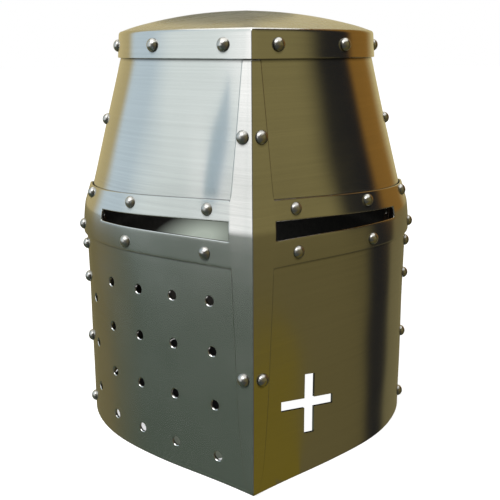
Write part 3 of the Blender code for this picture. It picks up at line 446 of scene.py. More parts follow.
def make_sheet(node, bm, thickness, finishes, edge=EDGE_BREAK, segments=2, cutters=(), body="root",
               suffix="steel", inner=None, rim=0):
    """Thick sheet with broken edges from the outer face in a bmesh, then any holes.

    inner and rim say how many finishes further on the inner face and the edge find theirs.
    """
    bmesh.ops.remove_doubles(bm, verts=bm.verts, dist=MERGE)
    piece = add_object(f"{node}_{suffix}", bm, finishes)
    wall = piece.modifiers.new("wall", "SOLIDIFY")
    wall.thickness, wall.offset, wall.use_even_offset = thickness, -1, True
    wall.material_offset = len(finishes) - 1 if inner is None else inner
    wall.material_offset_rim = rim
    broken = piece.modifiers.new("broken edges", "BEVEL")
    broken.width, broken.segments, broken.limit_method = edge, segments, "ANGLE"
    broken.angle_limit = BREAK_ANGLE
    for cutter in cutters:
        hole = piece.modifiers.new(cutter.name, "BOOLEAN")
        hole.object, hole.operation, hole.solver = cutter, "DIFFERENCE", "EXACT"
    settle(piece)
    for cutter in cutters:
        bpy.data.objects.remove(cutter, do_unlink=True)
    smooth_faces(piece)
    return dress(piece, node, body)


print("sheet helpers ready, edges broken by", EDGE_BREAK * 1000, "mm")

# %% [markdown]
# ## Skull plates and nape plate
# The front skull plate and the face plate lie on the master surface. The back plates tuck one layer under
# them at the side seams, and the nape plate steps inwards at its top, so that the back skull plate laps
# over it. Each edge of the sight plate falls away from the ridge, and the front plates follow those lines.

# %% Skull front, skull back and nape
SEAM_S = WIDEST_S - 0.0278
FRONT_REAR_EDGE, BACK_FRONT_EDGE = SEAM_S + 0.010, SEAM_S - 0.009
ARM_BOTTOM_Z = 0.1385
SLOT_BOTTOM_Z = ARM_BOTTOM_Z + 0.0154
SLOT_TOP_Z = SLOT_BOTTOM_Z + 0.0113
ARM_TOP_Z = SLOT_TOP_Z + 0.0119
SLOT_IN, SLOT_OUT, SLOT_MARGIN = 0.0150, 0.126, 0.002
SLOT_TOP_FALL, SLOT_BOTTOM_FALL = 0.0623, 0.027
BACK_ROW_Z = ARM_BOTTOM_Z + 0.0030
BACK_LAP_LOW_Z, BACK_LAP_HIGH_Z = BACK_ROW_Z - 0.0115, BACK_ROW_Z + 0.0145
SKULL_TOP_Z = FLANGE_EDGE_Z + 0.0100
BACK_LIFT, TUCK_LIFT, SIGHT_LIFT = -LAYER, -2 * LAYER, LAYER
JOGGLE_RUN = 0.009


def slot_top(s):
    return SLOT_TOP_Z - SLOT_TOP_FALL * np.minimum(np.abs(s), SLOT_OUT)


def slot_bottom(s):
    return SLOT_BOTTOM_Z - SLOT_BOTTOM_FALL * np.minimum(np.abs(s), SLOT_OUT)


def between(low, high, share):
    return low + (high - low) * share


def roll_skull_front(u, v):
    s = between(-FRONT_REAR_EDGE, FRONT_REAR_EDGE, u)
    return shell(s, between(slot_top(s) + SLOT_MARGIN, SKULL_TOP_Z, v), 0.0)


def round_the_back(u):
    return between(BACK_FRONT_EDGE, 2 * HALF_ARC - BACK_FRONT_EDGE, u)


def roll_skull_back(u, v):
    return shell(round_the_back(u), between(BACK_LAP_LOW_Z, SKULL_TOP_Z, v), BACK_LIFT)


def roll_nape(u, v):
    z = between(0.0, BACK_LAP_HIGH_Z, v)
    step_end = BACK_LAP_LOW_Z - LAYER
    step = ease(z, step_end - JOGGLE_RUN, step_end)
    return shell(round_the_back(u), z, between(BACK_LIFT, TUCK_LIFT, step))


PLATE_FINISHES = [plate_steel, inside_steel]
for node, columns, rows, roll_plate in (("skull_front_plate", 160, 48, roll_skull_front),
                                        ("skull_back_plate", 180, 56, roll_skull_back),
                                        ("nape_plate", 180, 72, roll_nape)):
    make_sheet(node, rolled_grid(columns, rows, roll_plate), PLATE, PLATE_FINISHES)

# %% [markdown]
# ## Face plate with breath holes and a cross
# The right cheek has rows of punched breath holes and the left cheek a cut-out cross. A hole is drilled by
# a turned cutter: a shank with a flare at the surface, which leaves a small countersink that catches the
# light. The cross is a plus-shaped prism set square to the cheek, whose level bar leans a little, as it was
# sawn by hand. Booleans cut both after the edges of the plate are broken.

# %% Cutters for the breath holes and the cross
VENT_RADIUS, VENT_STEPS, COUNTERSINK = 0.003, 28, 0.0004
VENT_ROWS = ((0.1171, 0.0525), (0.0859, 0.046), (0.0516, 0.027), (0.0172, 0.0))
VENT_COLUMNS = ((0.0264, 0.045), (0.0603, 0.0), (0.0905, -0.01), (0.1183, 0.0))
VENT_SIDE_S, VENT_SIDE_HEIGHTS = SEAM_S - 0.025, (0.0277, 0.0604, 0.0931)
CROSS_S, CROSS_Z, CROSS_BAR, CROSS_UPRIGHT, CROSS_TILT = 0.045, 0.0468, 0.0064, 0.0081, math.radians(-9.0)
CROSS_UP, CROSS_DOWN, CROSS_IN, CROSS_OUT = 0.0190, 0.0204, 0.0228, 0.0200
CUT_DEPTH = 0.0096


def frame_on_shell(s, z):
    """Matrix at a place on the front plates: X along the rim, Y up the plate, Z out."""
    station = station_of(np.array([s]))
    normal = Vector(shell_normals(station, np.array([z]))[0]).normalized()
    across = Vector((0, 0, 1)).cross(normal).normalized()
    turn = Matrix((across, normal.cross(across), normal)).transposed().to_4x4()
    return Matrix.Translation(Vector(shell([s], [z], [0.0])[0])) @ turn


def spin_profile(bm, profile, steps, matrix):
    """Turned shape from (radius, height) points that start and end on the axis, or close into a ring."""
    points = [bm.verts.new((radius, 0, height)) for radius, height in profile]
    edges = [bm.edges.new(pair) for pair in zip(points, points[1:])]
    before = set(bm.verts) - set(points)
    bmesh.ops.spin(bm, geom=points + edges, axis=(0, 0, 1), cent=(0, 0, 0), angle=math.tau,
                   steps=steps, use_merge=True)
    made = [vert for vert in bm.verts if vert not in before]
    bmesh.ops.transform(bm, matrix=matrix, verts=made)


def close_and_turn_out(bm):
    bmesh.ops.remove_doubles(bm, verts=bm.verts, dist=MERGE)
    bmesh.ops.recalc_face_normals(bm, faces=bm.faces)


def breath_hole_cutter():
    spots = [(s + lean * (z - fall * s), z - fall * s) for z, fall in VENT_ROWS for s, lean in VENT_COLUMNS]
    spots += [(VENT_SIDE_S, z) for z in VENT_SIDE_HEIGHTS]
    flare = 3 * COUNTERSINK
    profile = ((0, -CUT_DEPTH / 2), (VENT_RADIUS, -CUT_DEPTH / 2), (VENT_RADIUS, -COUNTERSINK),
               (VENT_RADIUS + COUNTERSINK + flare, flare), (0, flare))
    bm = bmesh.new()
    for s, z in spots:
        spin_profile(bm, profile, VENT_STEPS, frame_on_shell(-s, z))
    close_and_turn_out(bm)
    print("breath holes", len(spots))
    return add_object("breath_hole_cutter", bm, ())


def cross_cutter():
    """Plus outline whose level edges lean while the upright stands straight."""
    bar, upright, lean = CROSS_BAR / 2, CROSS_UPRIGHT / 2, math.tan(CROSS_TILT)
    outline = ((-CROSS_IN, -bar), (-upright, -bar), (-upright, -CROSS_DOWN), (upright, -CROSS_DOWN),
               (upright, -bar), (CROSS_OUT, -bar), (CROSS_OUT, bar), (upright, bar), (upright, CROSS_UP),
               (-upright, CROSS_UP), (-upright, bar), (-CROSS_IN, bar))
    bm = bmesh.new()
    cap = bm.faces.new([bm.verts.new((a, b + a * lean, -CUT_DEPTH)) for a, b in outline])
    pulled = bmesh.ops.extrude_face_region(bm, geom=[cap])["geom"]
    bmesh.ops.translate(bm, verts=[g for g in pulled if isinstance(g, bmesh.types.BMVert)],
                        vec=(0, 0, 2 * CUT_DEPTH))
    bmesh.ops.transform(bm, matrix=frame_on_shell(CROSS_S, CROSS_Z), verts=bm.verts)
    bmesh.ops.recalc_face_normals(bm, faces=bm.faces)
    return add_object("cross_cutter", bm, ())


cross_width, cross_height = CROSS_IN + CROSS_OUT, CROSS_UP + CROSS_DOWN
print("cross", round(cross_width * 1000, 1), "mm wide and", round(cross_height * 1000, 1), "mm high")


# %% Face plate
FACE_COLUMNS, FACE_ROWS = 160, 66


def roll_face(u, v):
    s = between(-FRONT_REAR_EDGE, FRONT_REAR_EDGE, u)
    return shell(s, (slot_bottom(s) - SLOT_MARGIN) * v, 0.0)


make_sheet("face_plate", rolled_grid(FACE_COLUMNS, FACE_ROWS, roll_face), PLATE, PLATE_FINISHES,
           cutters=(breath_hole_cutter(), cross_cutter()))

# %% [markdown]
# ## Sight plate
# One cross-shaped plate is folded over the ridge: a strip that ends in a lance tip, and two arms with the
# eye slots. It is a quilt of grids that share their border points. Merging the doubles sews the quilt, and
# the slots are the patches that are left out. The plate is lifted into a soft crease along the eye line. A
# dark line of painted shade runs along the strip's edges: an attribute marks those points, and the steel
# reads it.

# %% Strip of the sight plate
ARM_END = WIDEST_S + 0.010
STRIP_HALF, STRIP_TOP_HALF, STRIP_TIP_HALF = 0.0138, 0.0050, 0.0012
STRIP_TIP_Z, STRIP_TIP_POWER, STRIP_TIP_ROW_POWER = 0.003, 0.34, 1.4
ARM_JOGGLE_RUN = 0.009
STRIP_FLARE, FLARE_END = 0.035, 0.055
CREASE_HEIGHT, CREASE_RUN, CREASE_POWER = 0.0009, 0.024, 1.6
BAR_ROWS, SLOT_ROWS, TIP_ROWS, NECK_ROWS = 8, 6, 44, 30
STRIP_COLUMNS, JOINT_COLUMNS, SLOT_COLUMNS, END_COLUMNS = 12, 1, 50, 40
ARM_TOP_FALL, ARM_BOTTOM_FALL = 0.057, 0.024
LINE_WIDTH, SIGHT_EDGE, SIGHT_EDGE_STEPS, LAST_ROW = 0.0011, 0.0006, 3, 0.9999


def arm_top(s):
    return ARM_TOP_Z - ARM_TOP_FALL * np.abs(s)


def arm_bottom(s):
    return ARM_BOTTOM_Z - ARM_BOTTOM_FALL * np.abs(s)


def sight_lift(s, z):
    """The strip is folded a little flatter than the ridge and creased along the eye line.

    The arms step down behind the front plates.
    """
    reach = np.abs(s)
    flare = STRIP_FLARE * np.minimum(reach, STRIP_HALF) * (1 - ease(reach, STRIP_HALF, FLARE_END))
    eye_line = (slot_top(s) + slot_bottom(s)) / 2
    crease = CREASE_HEIGHT * np.clip(1 - np.abs(z - eye_line) / CREASE_RUN, 0, 1) ** CREASE_POWER
    start = FRONT_REAR_EDGE + LAYER
    return (SIGHT_LIFT + flare + crease) * (1 - ease(reach, start, start + ARM_JOGGLE_RUN))


def strip_distance(u, half):
    """Columns across the strip; the outermost one on each side is as narrow as the painted shade line at the
    edge.
    """
    across = 2 * u - 1
    inner = (half - np.minimum(LINE_WIDTH, 0.8 * half)) / (1 - 2 / STRIP_COLUMNS)
    return np.where(np.abs(across) > 1 - 1 / STRIP_COLUMNS, np.sign(across) * half, across * inner)


def add_strip(bm):
    low, high = float(arm_bottom(STRIP_HALF)), float(arm_top(STRIP_HALF))
    eye_low, eye_high = float(slot_bottom(STRIP_HALF)), float(slot_top(STRIP_HALF))

    def tip(u, v):
        z = between(STRIP_TIP_Z, low, v ** STRIP_TIP_ROW_POWER)
        rise = np.maximum(z - STRIP_TIP_Z, 0) / (ARM_BOTTOM_Z - STRIP_TIP_Z)
        narrow = np.maximum(STRIP_TIP_HALF, STRIP_HALF * rise ** STRIP_TIP_POWER)
        half = np.where(v > LAST_ROW, STRIP_HALF, narrow)
        s = strip_distance(u, half)
        return shell(s, z, sight_lift(s, z))

    def neck(u, v):
        s = strip_distance(u, between(STRIP_HALF, STRIP_TOP_HALF, v))
        z = between(high, FLANGE_EDGE_Z - CLEARANCE, v)
        return shell(s, z, sight_lift(s, z))

    def middle(u, v, start, end):
        s = strip_distance(u, np.full_like(u, STRIP_HALF))
        z = between(start, end, v)
        return shell(s, z, sight_lift(s, z))

    add_grid(bm, STRIP_COLUMNS, TIP_ROWS, tip)
    for start, end, rows in ((low, eye_low, BAR_ROWS), (eye_low, eye_high, SLOT_ROWS),
                             (eye_high, high, BAR_ROWS)):
        add_grid(bm, STRIP_COLUMNS, rows, lambda u, v, start=start, end=end: middle(u, v, start, end))
    add_grid(bm, STRIP_COLUMNS, NECK_ROWS, neck)
    bmesh.ops.remove_doubles(bm, verts=bm.verts, dist=MERGE)
    # Painted shade: points on the strip's edges, outside the arms, carry a dark line that the steel reads.
    line = bm.verts.layers.float.new(EDGE_SHADE_LINE)
    for vert in bm.verts:
        vert[line] = float(vert.is_boundary and not low <= vert.co.z <= high)


print("strip", round(2 * STRIP_HALF * 1000, 1), "mm wide, lifted", round(SIGHT_LIFT * 1000, 2), "mm")


# %% Arms of the sight plate
def add_arm(bm, side):
    """One arm: three stretches along it, each with a lower and an upper bar, closed at the slot's ends."""
    def patch(start, end, columns, rows, low, high):
        def place(u, v):
            s = between(start, end, u if side > 0 else 1 - u)
            z = between(low(s), high(s), v)
            return shell(side * s, z, sight_lift(s, z))
        add_grid(bm, columns, rows, place)

    stretches = ((STRIP_HALF, SLOT_IN, JOINT_COLUMNS, True), (SLOT_IN, SLOT_OUT, SLOT_COLUMNS, False),
                 (SLOT_OUT, ARM_END, END_COLUMNS, True))
    for start, end, columns, closed in stretches:
        patch(start, end, columns, BAR_ROWS, arm_bottom, slot_bottom)
        patch(start, end, columns, BAR_ROWS, slot_top, arm_top)
        if closed:
            patch(start, end, columns, SLOT_ROWS, slot_bottom, slot_top)


bm = bmesh.new()
add_strip(bm)
for side in (-1, 1):
    add_arm(bm, side)
make_sheet("sight_plate", bm, PLATE, PLATE_FINISHES, SIGHT_EDGE, SIGHT_EDGE_STEPS)

# %% [markdown]
# ## Crown plate
# The top plate is dished and its edge is flanged down over the skull. One closed grid runs round the helm:
# up the flange, round the fold, then inwards over the dome to a pole. The crease of the ridge fades out on
# a hammered dome, so the dome's points are smoothed after rolling.

# %% Crown plate
FOLD_RADIUS, DOME_RISE, CROWN_EASE_RUN = 0.0025, 0.0132, 0.040
FLANGE_ROWS, FOLD_ROWS, DOME_ROWS, CROWN_COLUMNS = 8, 5, 34, 220
CROWN_ROWS = FLANGE_ROWS + FOLD_ROWS + DOME_ROWS
DOME_START, SMOOTHINGS, TOP_FACING = 0.0006, 12, 0.8


def crown_lift(s):
    start = FRONT_REAR_EDGE + LAYER
    return SIGHT_LIFT * (1 - ease(np.abs(s), start, start + CROWN_EASE_RUN))


def flange_points(s, z):
    """Outer face of the flange, which leans in a little towards the fold."""
    foot = shell(s, FLANGE_EDGE_Z, crown_lift(s))
    inward = shell_normals(station_of(s), np.full_like(s, FLANGE_EDGE_Z))
    inward[:, 2] = 0
    foot -= (FLANGE_LEAN * (z - FLANGE_EDGE_Z) / FLANGE_HEIGHT)[:, None] * inward
    foot[:, 2] = z
    return foot


def roll_crown(u, v):
    s = between(-HALF_ARC, HALF_ARC, u)
    row = np.rint(v * CROWN_ROWS)
    flange = np.minimum(row / FLANGE_ROWS, 1)
    turn = np.clip((row - FLANGE_ROWS) / FOLD_ROWS, 0, 1) * math.pi / 2
    dome = np.clip((row - FLANGE_ROWS - FOLD_ROWS) / DOME_ROWS, 0, 1)
    points = flange_points(s, between(FLANGE_EDGE_Z, FOLD_Z - FOLD_RADIUS, flange))
    middle_y = (flange_points(np.array([0.0, HALF_ARC]), np.full(2, FOLD_Z))[:, 1]).mean()
    share = (1 - FOLD_RADIUS * (1 - np.cos(turn)) / RIM.half_width) * (1 - dome)
    points[:, 0] *= share
    points[:, 1] = middle_y + (points[:, 1] - middle_y) * share
    bulge = DOME_RISE * (1 - share ** 2) * (dome > 0)
    points[:, 2] += FOLD_RADIUS * np.sin(turn) + bulge
    return points


bm = rolled_grid(CROWN_COLUMNS, CROWN_ROWS, roll_crown)
bmesh.ops.remove_doubles(bm, verts=bm.verts, dist=MERGE)
dome_verts = [vert for vert in bm.verts if vert.co.z > FOLD_Z + DOME_START]
for _ in range(SMOOTHINGS):
    bmesh.ops.smooth_vert(bm, verts=dome_verts, factor=0.5, use_axis_x=True, use_axis_y=True, use_axis_z=True)
for face in bm.faces:
    face.material_index = int(face.normal.z > TOP_FACING)
make_sheet("crown_plate", bm, PLATE, [plate_steel, dome_steel, inside_steel])

# %% [markdown]
# ## Dome rivets
# Every rivet has a hand-set dome outside, a shank through the plates and a flattened tail inside. The seat
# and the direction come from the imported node: of the three main directions of its points, two are alike and
# the third is the axis. A profile spun about that axis makes the rivet, a little different each time, as
# hammering leaves it.

# %% Rivets
RIVET_STEPS, DOME_STEPS, DOME_POWER = 28, 9, 1.15
SHANK_RADIUS, TAIL_HEIGHT = 0.0018, 0.0010
HAMMERING = 0.04
chance = random.Random(7)


def turn_to(axis):
    """Matrix that turns Z to a direction."""
    return axis.to_track_quat("Z", "Y").to_matrix().to_4x4()


def rivet_frame(node):
    """Seat matrix with Z out of the helm, head radius and height, and depth and radius of the tail."""
    points = np.array([vert.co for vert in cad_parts[node].data.vertices])
    middle = points.mean(0)
    sizes, axes = np.linalg.eigh(np.cov((points - middle).T))
    axis = Vector(axes[:, 0] if sizes[1] / sizes[0] > sizes[2] / sizes[1] else axes[:, 2])
    if axis.dot(Vector((middle[0], middle[1], 0))) < 0:
        axis = -axis
    along = (points - middle) @ np.array(axis)
    radius = np.linalg.norm(points - middle - along[:, None] * np.array(axis), axis=1)
    seat = float(along[radius > 0.95 * radius.max()].mean())
    tail = radius[along < along.min() + TAIL_HEIGHT / 2].max()
    place = Matrix.Translation(Vector(middle) + seat * axis) @ turn_to(axis)
    return place, radius.max(), along.max() - seat, seat - along.min(), tail


def rivet_profile(head, height, depth, tail):
    """Half section from the top of the dome to the end of the tail; the dome's foot rests on the plate."""
    turns = np.linspace(0, math.pi / 2, DOME_STEPS + 1)
    profile = [(head * math.sin(t), height * math.cos(t) ** DOME_POWER) for t in turns]
    foot = -1.2 * CLEARANCE
    shoulder = -depth + TAIL_HEIGHT
    profile += [(head, foot), (SHANK_RADIUS, foot), (SHANK_RADIUS, shoulder), (0.92 * tail, shoulder),
                (tail, shoulder - 0.3 * TAIL_HEIGHT), (0.86 * tail, -depth + 0.1 * TAIL_HEIGHT), (0, -depth)]
    return [(max(radius, 0.0), z) for radius, z in profile]


def make_rivet(node):
    place, head, height, depth, tail = rivet_frame(node)
    head *= 1 + chance.uniform(-HAMMERING, 0.2 * HAMMERING)
    height *= 1 + chance.uniform(-2 * HAMMERING, 0)
    bm = bmesh.new()
    spin_profile(bm, rivet_profile(head, height, depth, tail), RIVET_STEPS, place)
    close_and_turn_out(bm)
    return make_solid(node, bm, rivet_steel)


rivets = [make_rivet(node) for node in sorted(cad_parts) if "rivet" in node]
print("rivets", len(rivets))

# %% [markdown]
# ## Leather
# The liner and the chin strap are tanned cowhide. Its smooth grain side has pebbles and rubbed places, its
# flesh side is paler and rough like suede, and its cut edges are dyed dark. These finishes share the grain
# group. A stitch is a small flattened bead of linen thread, with few faces because there are hundreds.

# %% Leather finishes and stitches
LEATHER_EDGE, LEATHER_EDGE_STEPS = 0.0007, 3
THREAD, STITCH, STITCH_PITCH = 0.0007, 0.0034, 0.0050


def grained_finish(name, light, dark, rough, depth, pebbles=900.0):
    """Leather or thread whose dye is cloudy and whose rubbed places are paler and smoother."""
    made, tree, shader, place = material_tree(name)
    grain = group_node(tree, LEATHER_GRAIN, Place=place, Pebbles=pebbles)
    dyed = mix_colour(tree, grain["Shade"], dark, light)
    rubbed = maths(tree, "MULTIPLY", grain["Rubbed"], 0.5)
    worn = mix_colour(tree, rubbed, dyed, tuple(1.6 * c for c in light))
    tree.links.new(worn, shader.inputs["Base Color"])
    tree.links.new(remap(tree, grain["Rubbed"], 0.0, 1.0, rough, rough - 0.2), shader.inputs["Roughness"])
    bump = add_node(tree, "Bump", Height=grain["Height"], Strength=0.6, Distance=depth)
    tree.links.new(bump.outputs[0], shader.inputs["Normal"])
    return made


liner_grain = grained_finish("liner_leather", (0.20, 0.105, 0.052), (0.12, 0.06, 0.03), 0.62, 0.0002)
strap_grain = grained_finish("strap_leather", (0.13, 0.065, 0.035), (0.075, 0.037, 0.02), 0.58, 0.0002)
flesh_side = grained_finish("leather_flesh", (0.28, 0.19, 0.12), (0.20, 0.13, 0.08), 0.95, 0.0003, 2200.0)
dyed_edge = grained_finish("leather_edge", (0.055, 0.03, 0.018), (0.035, 0.02, 0.012), 0.5, 0.0001)
linen_thread = grained_finish("linen_thread", (0.50, 0.43, 0.31), (0.38, 0.32, 0.22), 0.9, 0.0001, 3000.0)
STRAP_FINISHES = [strap_grain, flesh_side, dyed_edge]
LINER_FINISHES = [flesh_side, liner_grain, dyed_edge]
print("leather finishes", [finish.name for finish in (*STRAP_FINISHES, liner_grain, linen_thread)])


def make_hide(node, bm, finishes, cutters=(), body="root"):
    """Leather sheet: the first finish is its outer face, the second its inner face, the third its edge."""
    return make_sheet(node, bm, LEATHER, finishes, LEATHER_EDGE, LEATHER_EDGE_STEPS, cutters, body,
                      "leather", inner=1, rim=2)


def sew(name, lines, body="root"):
    """Stitches along lines of points; a line is its points and the directions that they face."""
    bm = bmesh.new()
    for points, facing in lines:
        for point, step, face in zip(points, np.gradient(points, axis=0), facing):
            along = Vector(step).normalized()
            across = Vector(face).cross(along).normalized()
            turn = Matrix((across, along.cross(across), along)).transposed().to_4x4()
            flat = Matrix.Diagonal((THREAD, 0.7 * THREAD, STITCH, 1))
            bmesh.ops.create_uvsphere(bm, u_segments=6, v_segments=4, radius=0.5,
                                      matrix=Matrix.Translation(point) @ turn @ flat)
    stitches = add_object(name, bm, [linen_thread])
    stitches.data.shade_smooth()
    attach(stitches, body)
    print(name, sum(len(points) for points, _ in lines), "stitches")


# %% [markdown]
# ## Liner
# The liner keeps the steel off the head. A band runs round inside the shell, rounded off at the ridge and
# clear of the eye slots. Six tongues are sewn inside its upper edge and arch up to a disc under the crown.
# Band and tongues are flat patterns again, rolled one step inside the plates that carry them.

# %% Head band
BAND_HEIGHT, BAND_ROUND, BAND_EASE_START = 0.034, 0.020, 0.110
BAND_SIDE_Z, BAND_BACK_Z, BAND_DROP = BACK_ROW_Z + 0.0115, BACK_ROW_Z - 0.0095, (0.212, 0.255)
STRAP_HALF = 0.009
SEW_INSET, BAND_COLUMNS, BAND_ROWS = 0.0035, 240, 8


def band_low(distance):
    s = np.abs(distance)
    front = slot_top(s) + SLOT_MARGIN
    side = between(front, BAND_SIDE_Z, ease(s, SLOT_OUT, WIDEST_S - STRAP_HALF))
    return side + (BAND_BACK_Z - BAND_SIDE_Z) * ease(s, *BAND_DROP)


def band_points(distance, z, depth):
    """Points at a height on the band's outer face, or deeper; a curve rounds off the corner at the ridge."""
    s = np.abs(distance)
    lift = between(0.0, TUCK_LIFT, ease(s, BAND_EASE_START, BACK_FRONT_EDGE - CLEARANCE)) - LAYER - depth
    start, corner, end = (shell(np.full_like(s, place), z, lift) for place in (-BAND_ROUND, 0.0, BAND_ROUND))
    t = (distance / BAND_ROUND + 1)[:, None] / 2
    rounded = (1 - t) ** 2 * start + 2 * t * (1 - t) * corner + t ** 2 * end
    return np.where(s[:, None] < BAND_ROUND, rounded, shell(distance, z, lift))


def roll_band(u, v):
    distance = between(-HALF_ARC, HALF_ARC, u)
    return band_points(distance, band_low(distance) + BAND_HEIGHT * v, 0.0)


def band_line(start, end, height, depth):
    """Sewing line on an inner face of the liner, and the way that it faces."""
    distance = np.arange(start, end, STITCH_PITCH)
    z = band_low(distance) + height
    points = band_points(distance, z, depth)
    return points, band_points(distance, z, depth + LEATHER) - points


make_hide("head_band", rolled_grid(BAND_COLUMNS, BAND_ROWS, roll_band), LINER_FINISHES)
sew("band_stitches", [band_line(-HALF_ARC, HALF_ARC, SEW_INSET, LEATHER)])

# %% Liner tongues and apex disc
TONGUES_PER_SIDE, TONGUE_LAP, TONGUE_BASE, TONGUE_TIP = 3, 0.012, 0.044, 0.0048
TONGUE_TIP_RADIUS, APEX_Y, APEX_Z, APEX_RADIUS = 0.0120, -0.004, FOLD_Z - 0.0060, 0.026
TONGUE_DEPTH = LEATHER + CLEARANCE
LAP_ROWS, ARCH_ROWS, TONGUE_COLUMNS = 5, 28, 16
APEX_STEPS, RIM_ANGLE = 48, 1.0


def tongue_roller(centre):
    """Flat pattern of one tongue: a lap against the band, then an arch that narrows up to the apex."""
    foot = band_points(np.array([centre]), band_low(np.array([centre])) + BAND_HEIGHT, TONGUE_DEPTH)[0]
    outward = Vector((foot[0], foot[1] - APEX_Y, 0)).normalized()
    sideways = np.array((-outward.y, outward.x, 0))
    tip = np.array(Vector((0, APEX_Y, 0)) + TONGUE_TIP_RADIUS * outward)

    def place(u, v):
        row = v * (LAP_ROWS + ARCH_ROWS)
        lap = np.minimum(row / LAP_ROWS, 1)
        turn = np.clip((row - LAP_ROWS) / ARCH_ROWS, 0, 1) * math.pi / 2
        share, across = np.cos(turn), 2 * u - 1
        distance = centre + across * between(TONGUE_TIP, TONGUE_BASE, share)
        edge = band_low(distance) + BAND_HEIGHT
        z = between(edge, APEX_Z, np.sin(turn)) - TONGUE_LAP * (1 - lap)
        end = tip + across[:, None] * TONGUE_TIP * sideways
        end[:, 2] = z
        return between(end, band_points(distance, z, TONGUE_DEPTH), share[:, None])

    return place


tongue_lines = []
for side, word in ((-1, "right"), (1, "left")):
    for k in range(TONGUES_PER_SIDE):
        centre = side * (k + 0.5) * HALF_ARC / TONGUES_PER_SIDE
        tongue = rolled_grid(TONGUE_COLUMNS, LAP_ROWS + ARCH_ROWS, tongue_roller(centre))
        make_hide(f"liner_tongue_{word}_{k + 1}", tongue, LINER_FINISHES)
        reach = TONGUE_BASE - SEW_INSET
        tongue_lines += [band_line(centre - reach, centre + reach, BAND_HEIGHT - drop, TONGUE_DEPTH + LEATHER)
                         for drop in (SEW_INSET, TONGUE_LAP - SEW_INSET)]
sew("tongue_stitches", tongue_lines)

bm = bmesh.new()
apex_place = Matrix.Translation((0, APEX_Y, APEX_Z + CLEARANCE + LEATHER / 2))
bmesh.ops.create_cone(bm, cap_ends=True, segments=APEX_STEPS, radius1=APEX_RADIUS, radius2=APEX_RADIUS,
                      depth=LEATHER, matrix=apex_place)
rim_edges = [edge for edge in bm.edges if edge.calc_face_angle() > RIM_ANGLE]
bmesh.ops.bevel(bm, geom=rim_edges, offset=LEATHER_EDGE, affect="EDGES", segments=LEATHER_EDGE_STEPS,
                profile=0.5, material=-1)
make_solid("liner_apex_disc", bm, liner_grain, suffix="leather")

# %% [markdown]
# ## Chin strap
# The strap hangs in half an ellipse between two rivets, which are also its hinge. The long strap comes from
# the left, lies inside the short one and passes through the buckle. The flat pattern has a round end at the
# rivet and a blunt tip. The rivet hole, the slot for the prong and the spare holes are punched by Booleans.
# The stitches end beside the keeper, so that it slides on plain leather.

# %% The hanging curve and the frame of the buckle
STRAP_DROP, OVERLAP_RISE, RISE_TURNS = 0.097, 0.0046, (math.radians(48), math.radians(84))
BUCKLE_TURN, KEEPER_TURN, TIP_TURN = (math.radians(angle) for angle in (112, 130, 146))
STRAP_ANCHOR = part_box("chin_strap_long")[1][0]
STRAP_AXIS = np.array((0, master_points(np.ones(1), np.array([BACK_ROW_Z]))[0, 1], BACK_ROW_Z))
WIRE_RADIUS, LOOP_WALL, BUCKLE_LENGTH = 0.0013, 0.0012, 0.016
PRONG_WIDTH, PRONG_THICKNESS, TANGENT_STEP = 0.0026, 0.0018, 0.01
LOOP_BORE = WIRE_RADIUS + CLEARANCE
LOOP_RADIUS = LOOP_BORE + LOOP_WALL
PRONG_ROOM = PRONG_WIDTH / 2 + 2 * CLEARANCE


def strap_points(turn, rise, y):
    """Points of the hanging strap: turn 0 is the left end, and rise goes inwards from its outer face."""
    turn, rise, y = np.broadcast_arrays(np.atleast_1d(turn), rise, y)
    inward = np.stack((-np.cos(turn) / STRAP_ANCHOR, 0 * turn, np.sin(turn) / STRAP_DROP), -1)
    inward /= np.linalg.norm(inward, axis=-1, keepdims=True)
    hanging = np.stack((STRAP_ANCHOR * np.cos(turn), y, -STRAP_DROP * np.sin(turn)), -1)
    return STRAP_AXIS + hanging + rise[:, None] * inward


def strap_point(turn, rise=0.0):
    return Vector(strap_points(turn, rise, 0.0)[0])


def strap_rise(turn):
    return OVERLAP_RISE * ease(turn, *RISE_TURNS)


def no_rise(turn):
    return 0 * turn


def rectangle_ring(inner, outer, low, high):
    """Closed half section of a turned ring."""
    return (inner, low), (outer, low), (outer, high), (inner, high), (inner, low)


along = (strap_point(BUCKLE_TURN + TANGENT_STEP) - strap_point(BUCKLE_TURN - TANGENT_STEP)).normalized()
across = Vector((0, 1, 0))
hinge = (Matrix.Translation(strap_point(BUCKLE_TURN, LEATHER / 2))
         @ Matrix((along, across.cross(along), across)).transposed().to_4x4())
front_turn = BUCKLE_TURN - BUCKLE_LENGTH / STRAP_ANCHOR
front_bar = hinge.inverted() @ strap_point(front_turn, OVERLAP_RISE + LEATHER + WIRE_RADIUS + 2 * CLEARANCE)
prong_rest = front_bar.y + WIRE_RADIUS + 2 * CLEARANCE + PRONG_THICKNESS / 2
prong_frame = hinge @ Matrix.Rotation(math.atan2(prong_rest, front_bar.x), 4, "Z")
print("buckle bars", round(front_bar.length * 1000, 1), "mm apart")

# %% Long and short strap
ROUND_ROWS, HANG_ROWS, STRAP_COLUMNS = 10, 80, 10
TIP_RUN, TIP_NARROWING, LOOP_REACH = math.radians(6), 0.55, 0.0022
HOLE_RADIUS, HOLE_TURNS = 0.0013, tuple(math.radians(angle) for angle in (86, 94, 138))
STRAP_SEW_INSET, SEW_START, SEW_END, KEEPER_ROOM = 0.0022, 0.12, 1.30, 0.18
SEWN_LONG, SEWN_SHORT = (SEW_START, SEW_END), (KEEPER_TURN + KEEPER_ROOM, math.pi - SEW_START)
PUNCH_STEPS, LOOP_STEPS = 20, 28


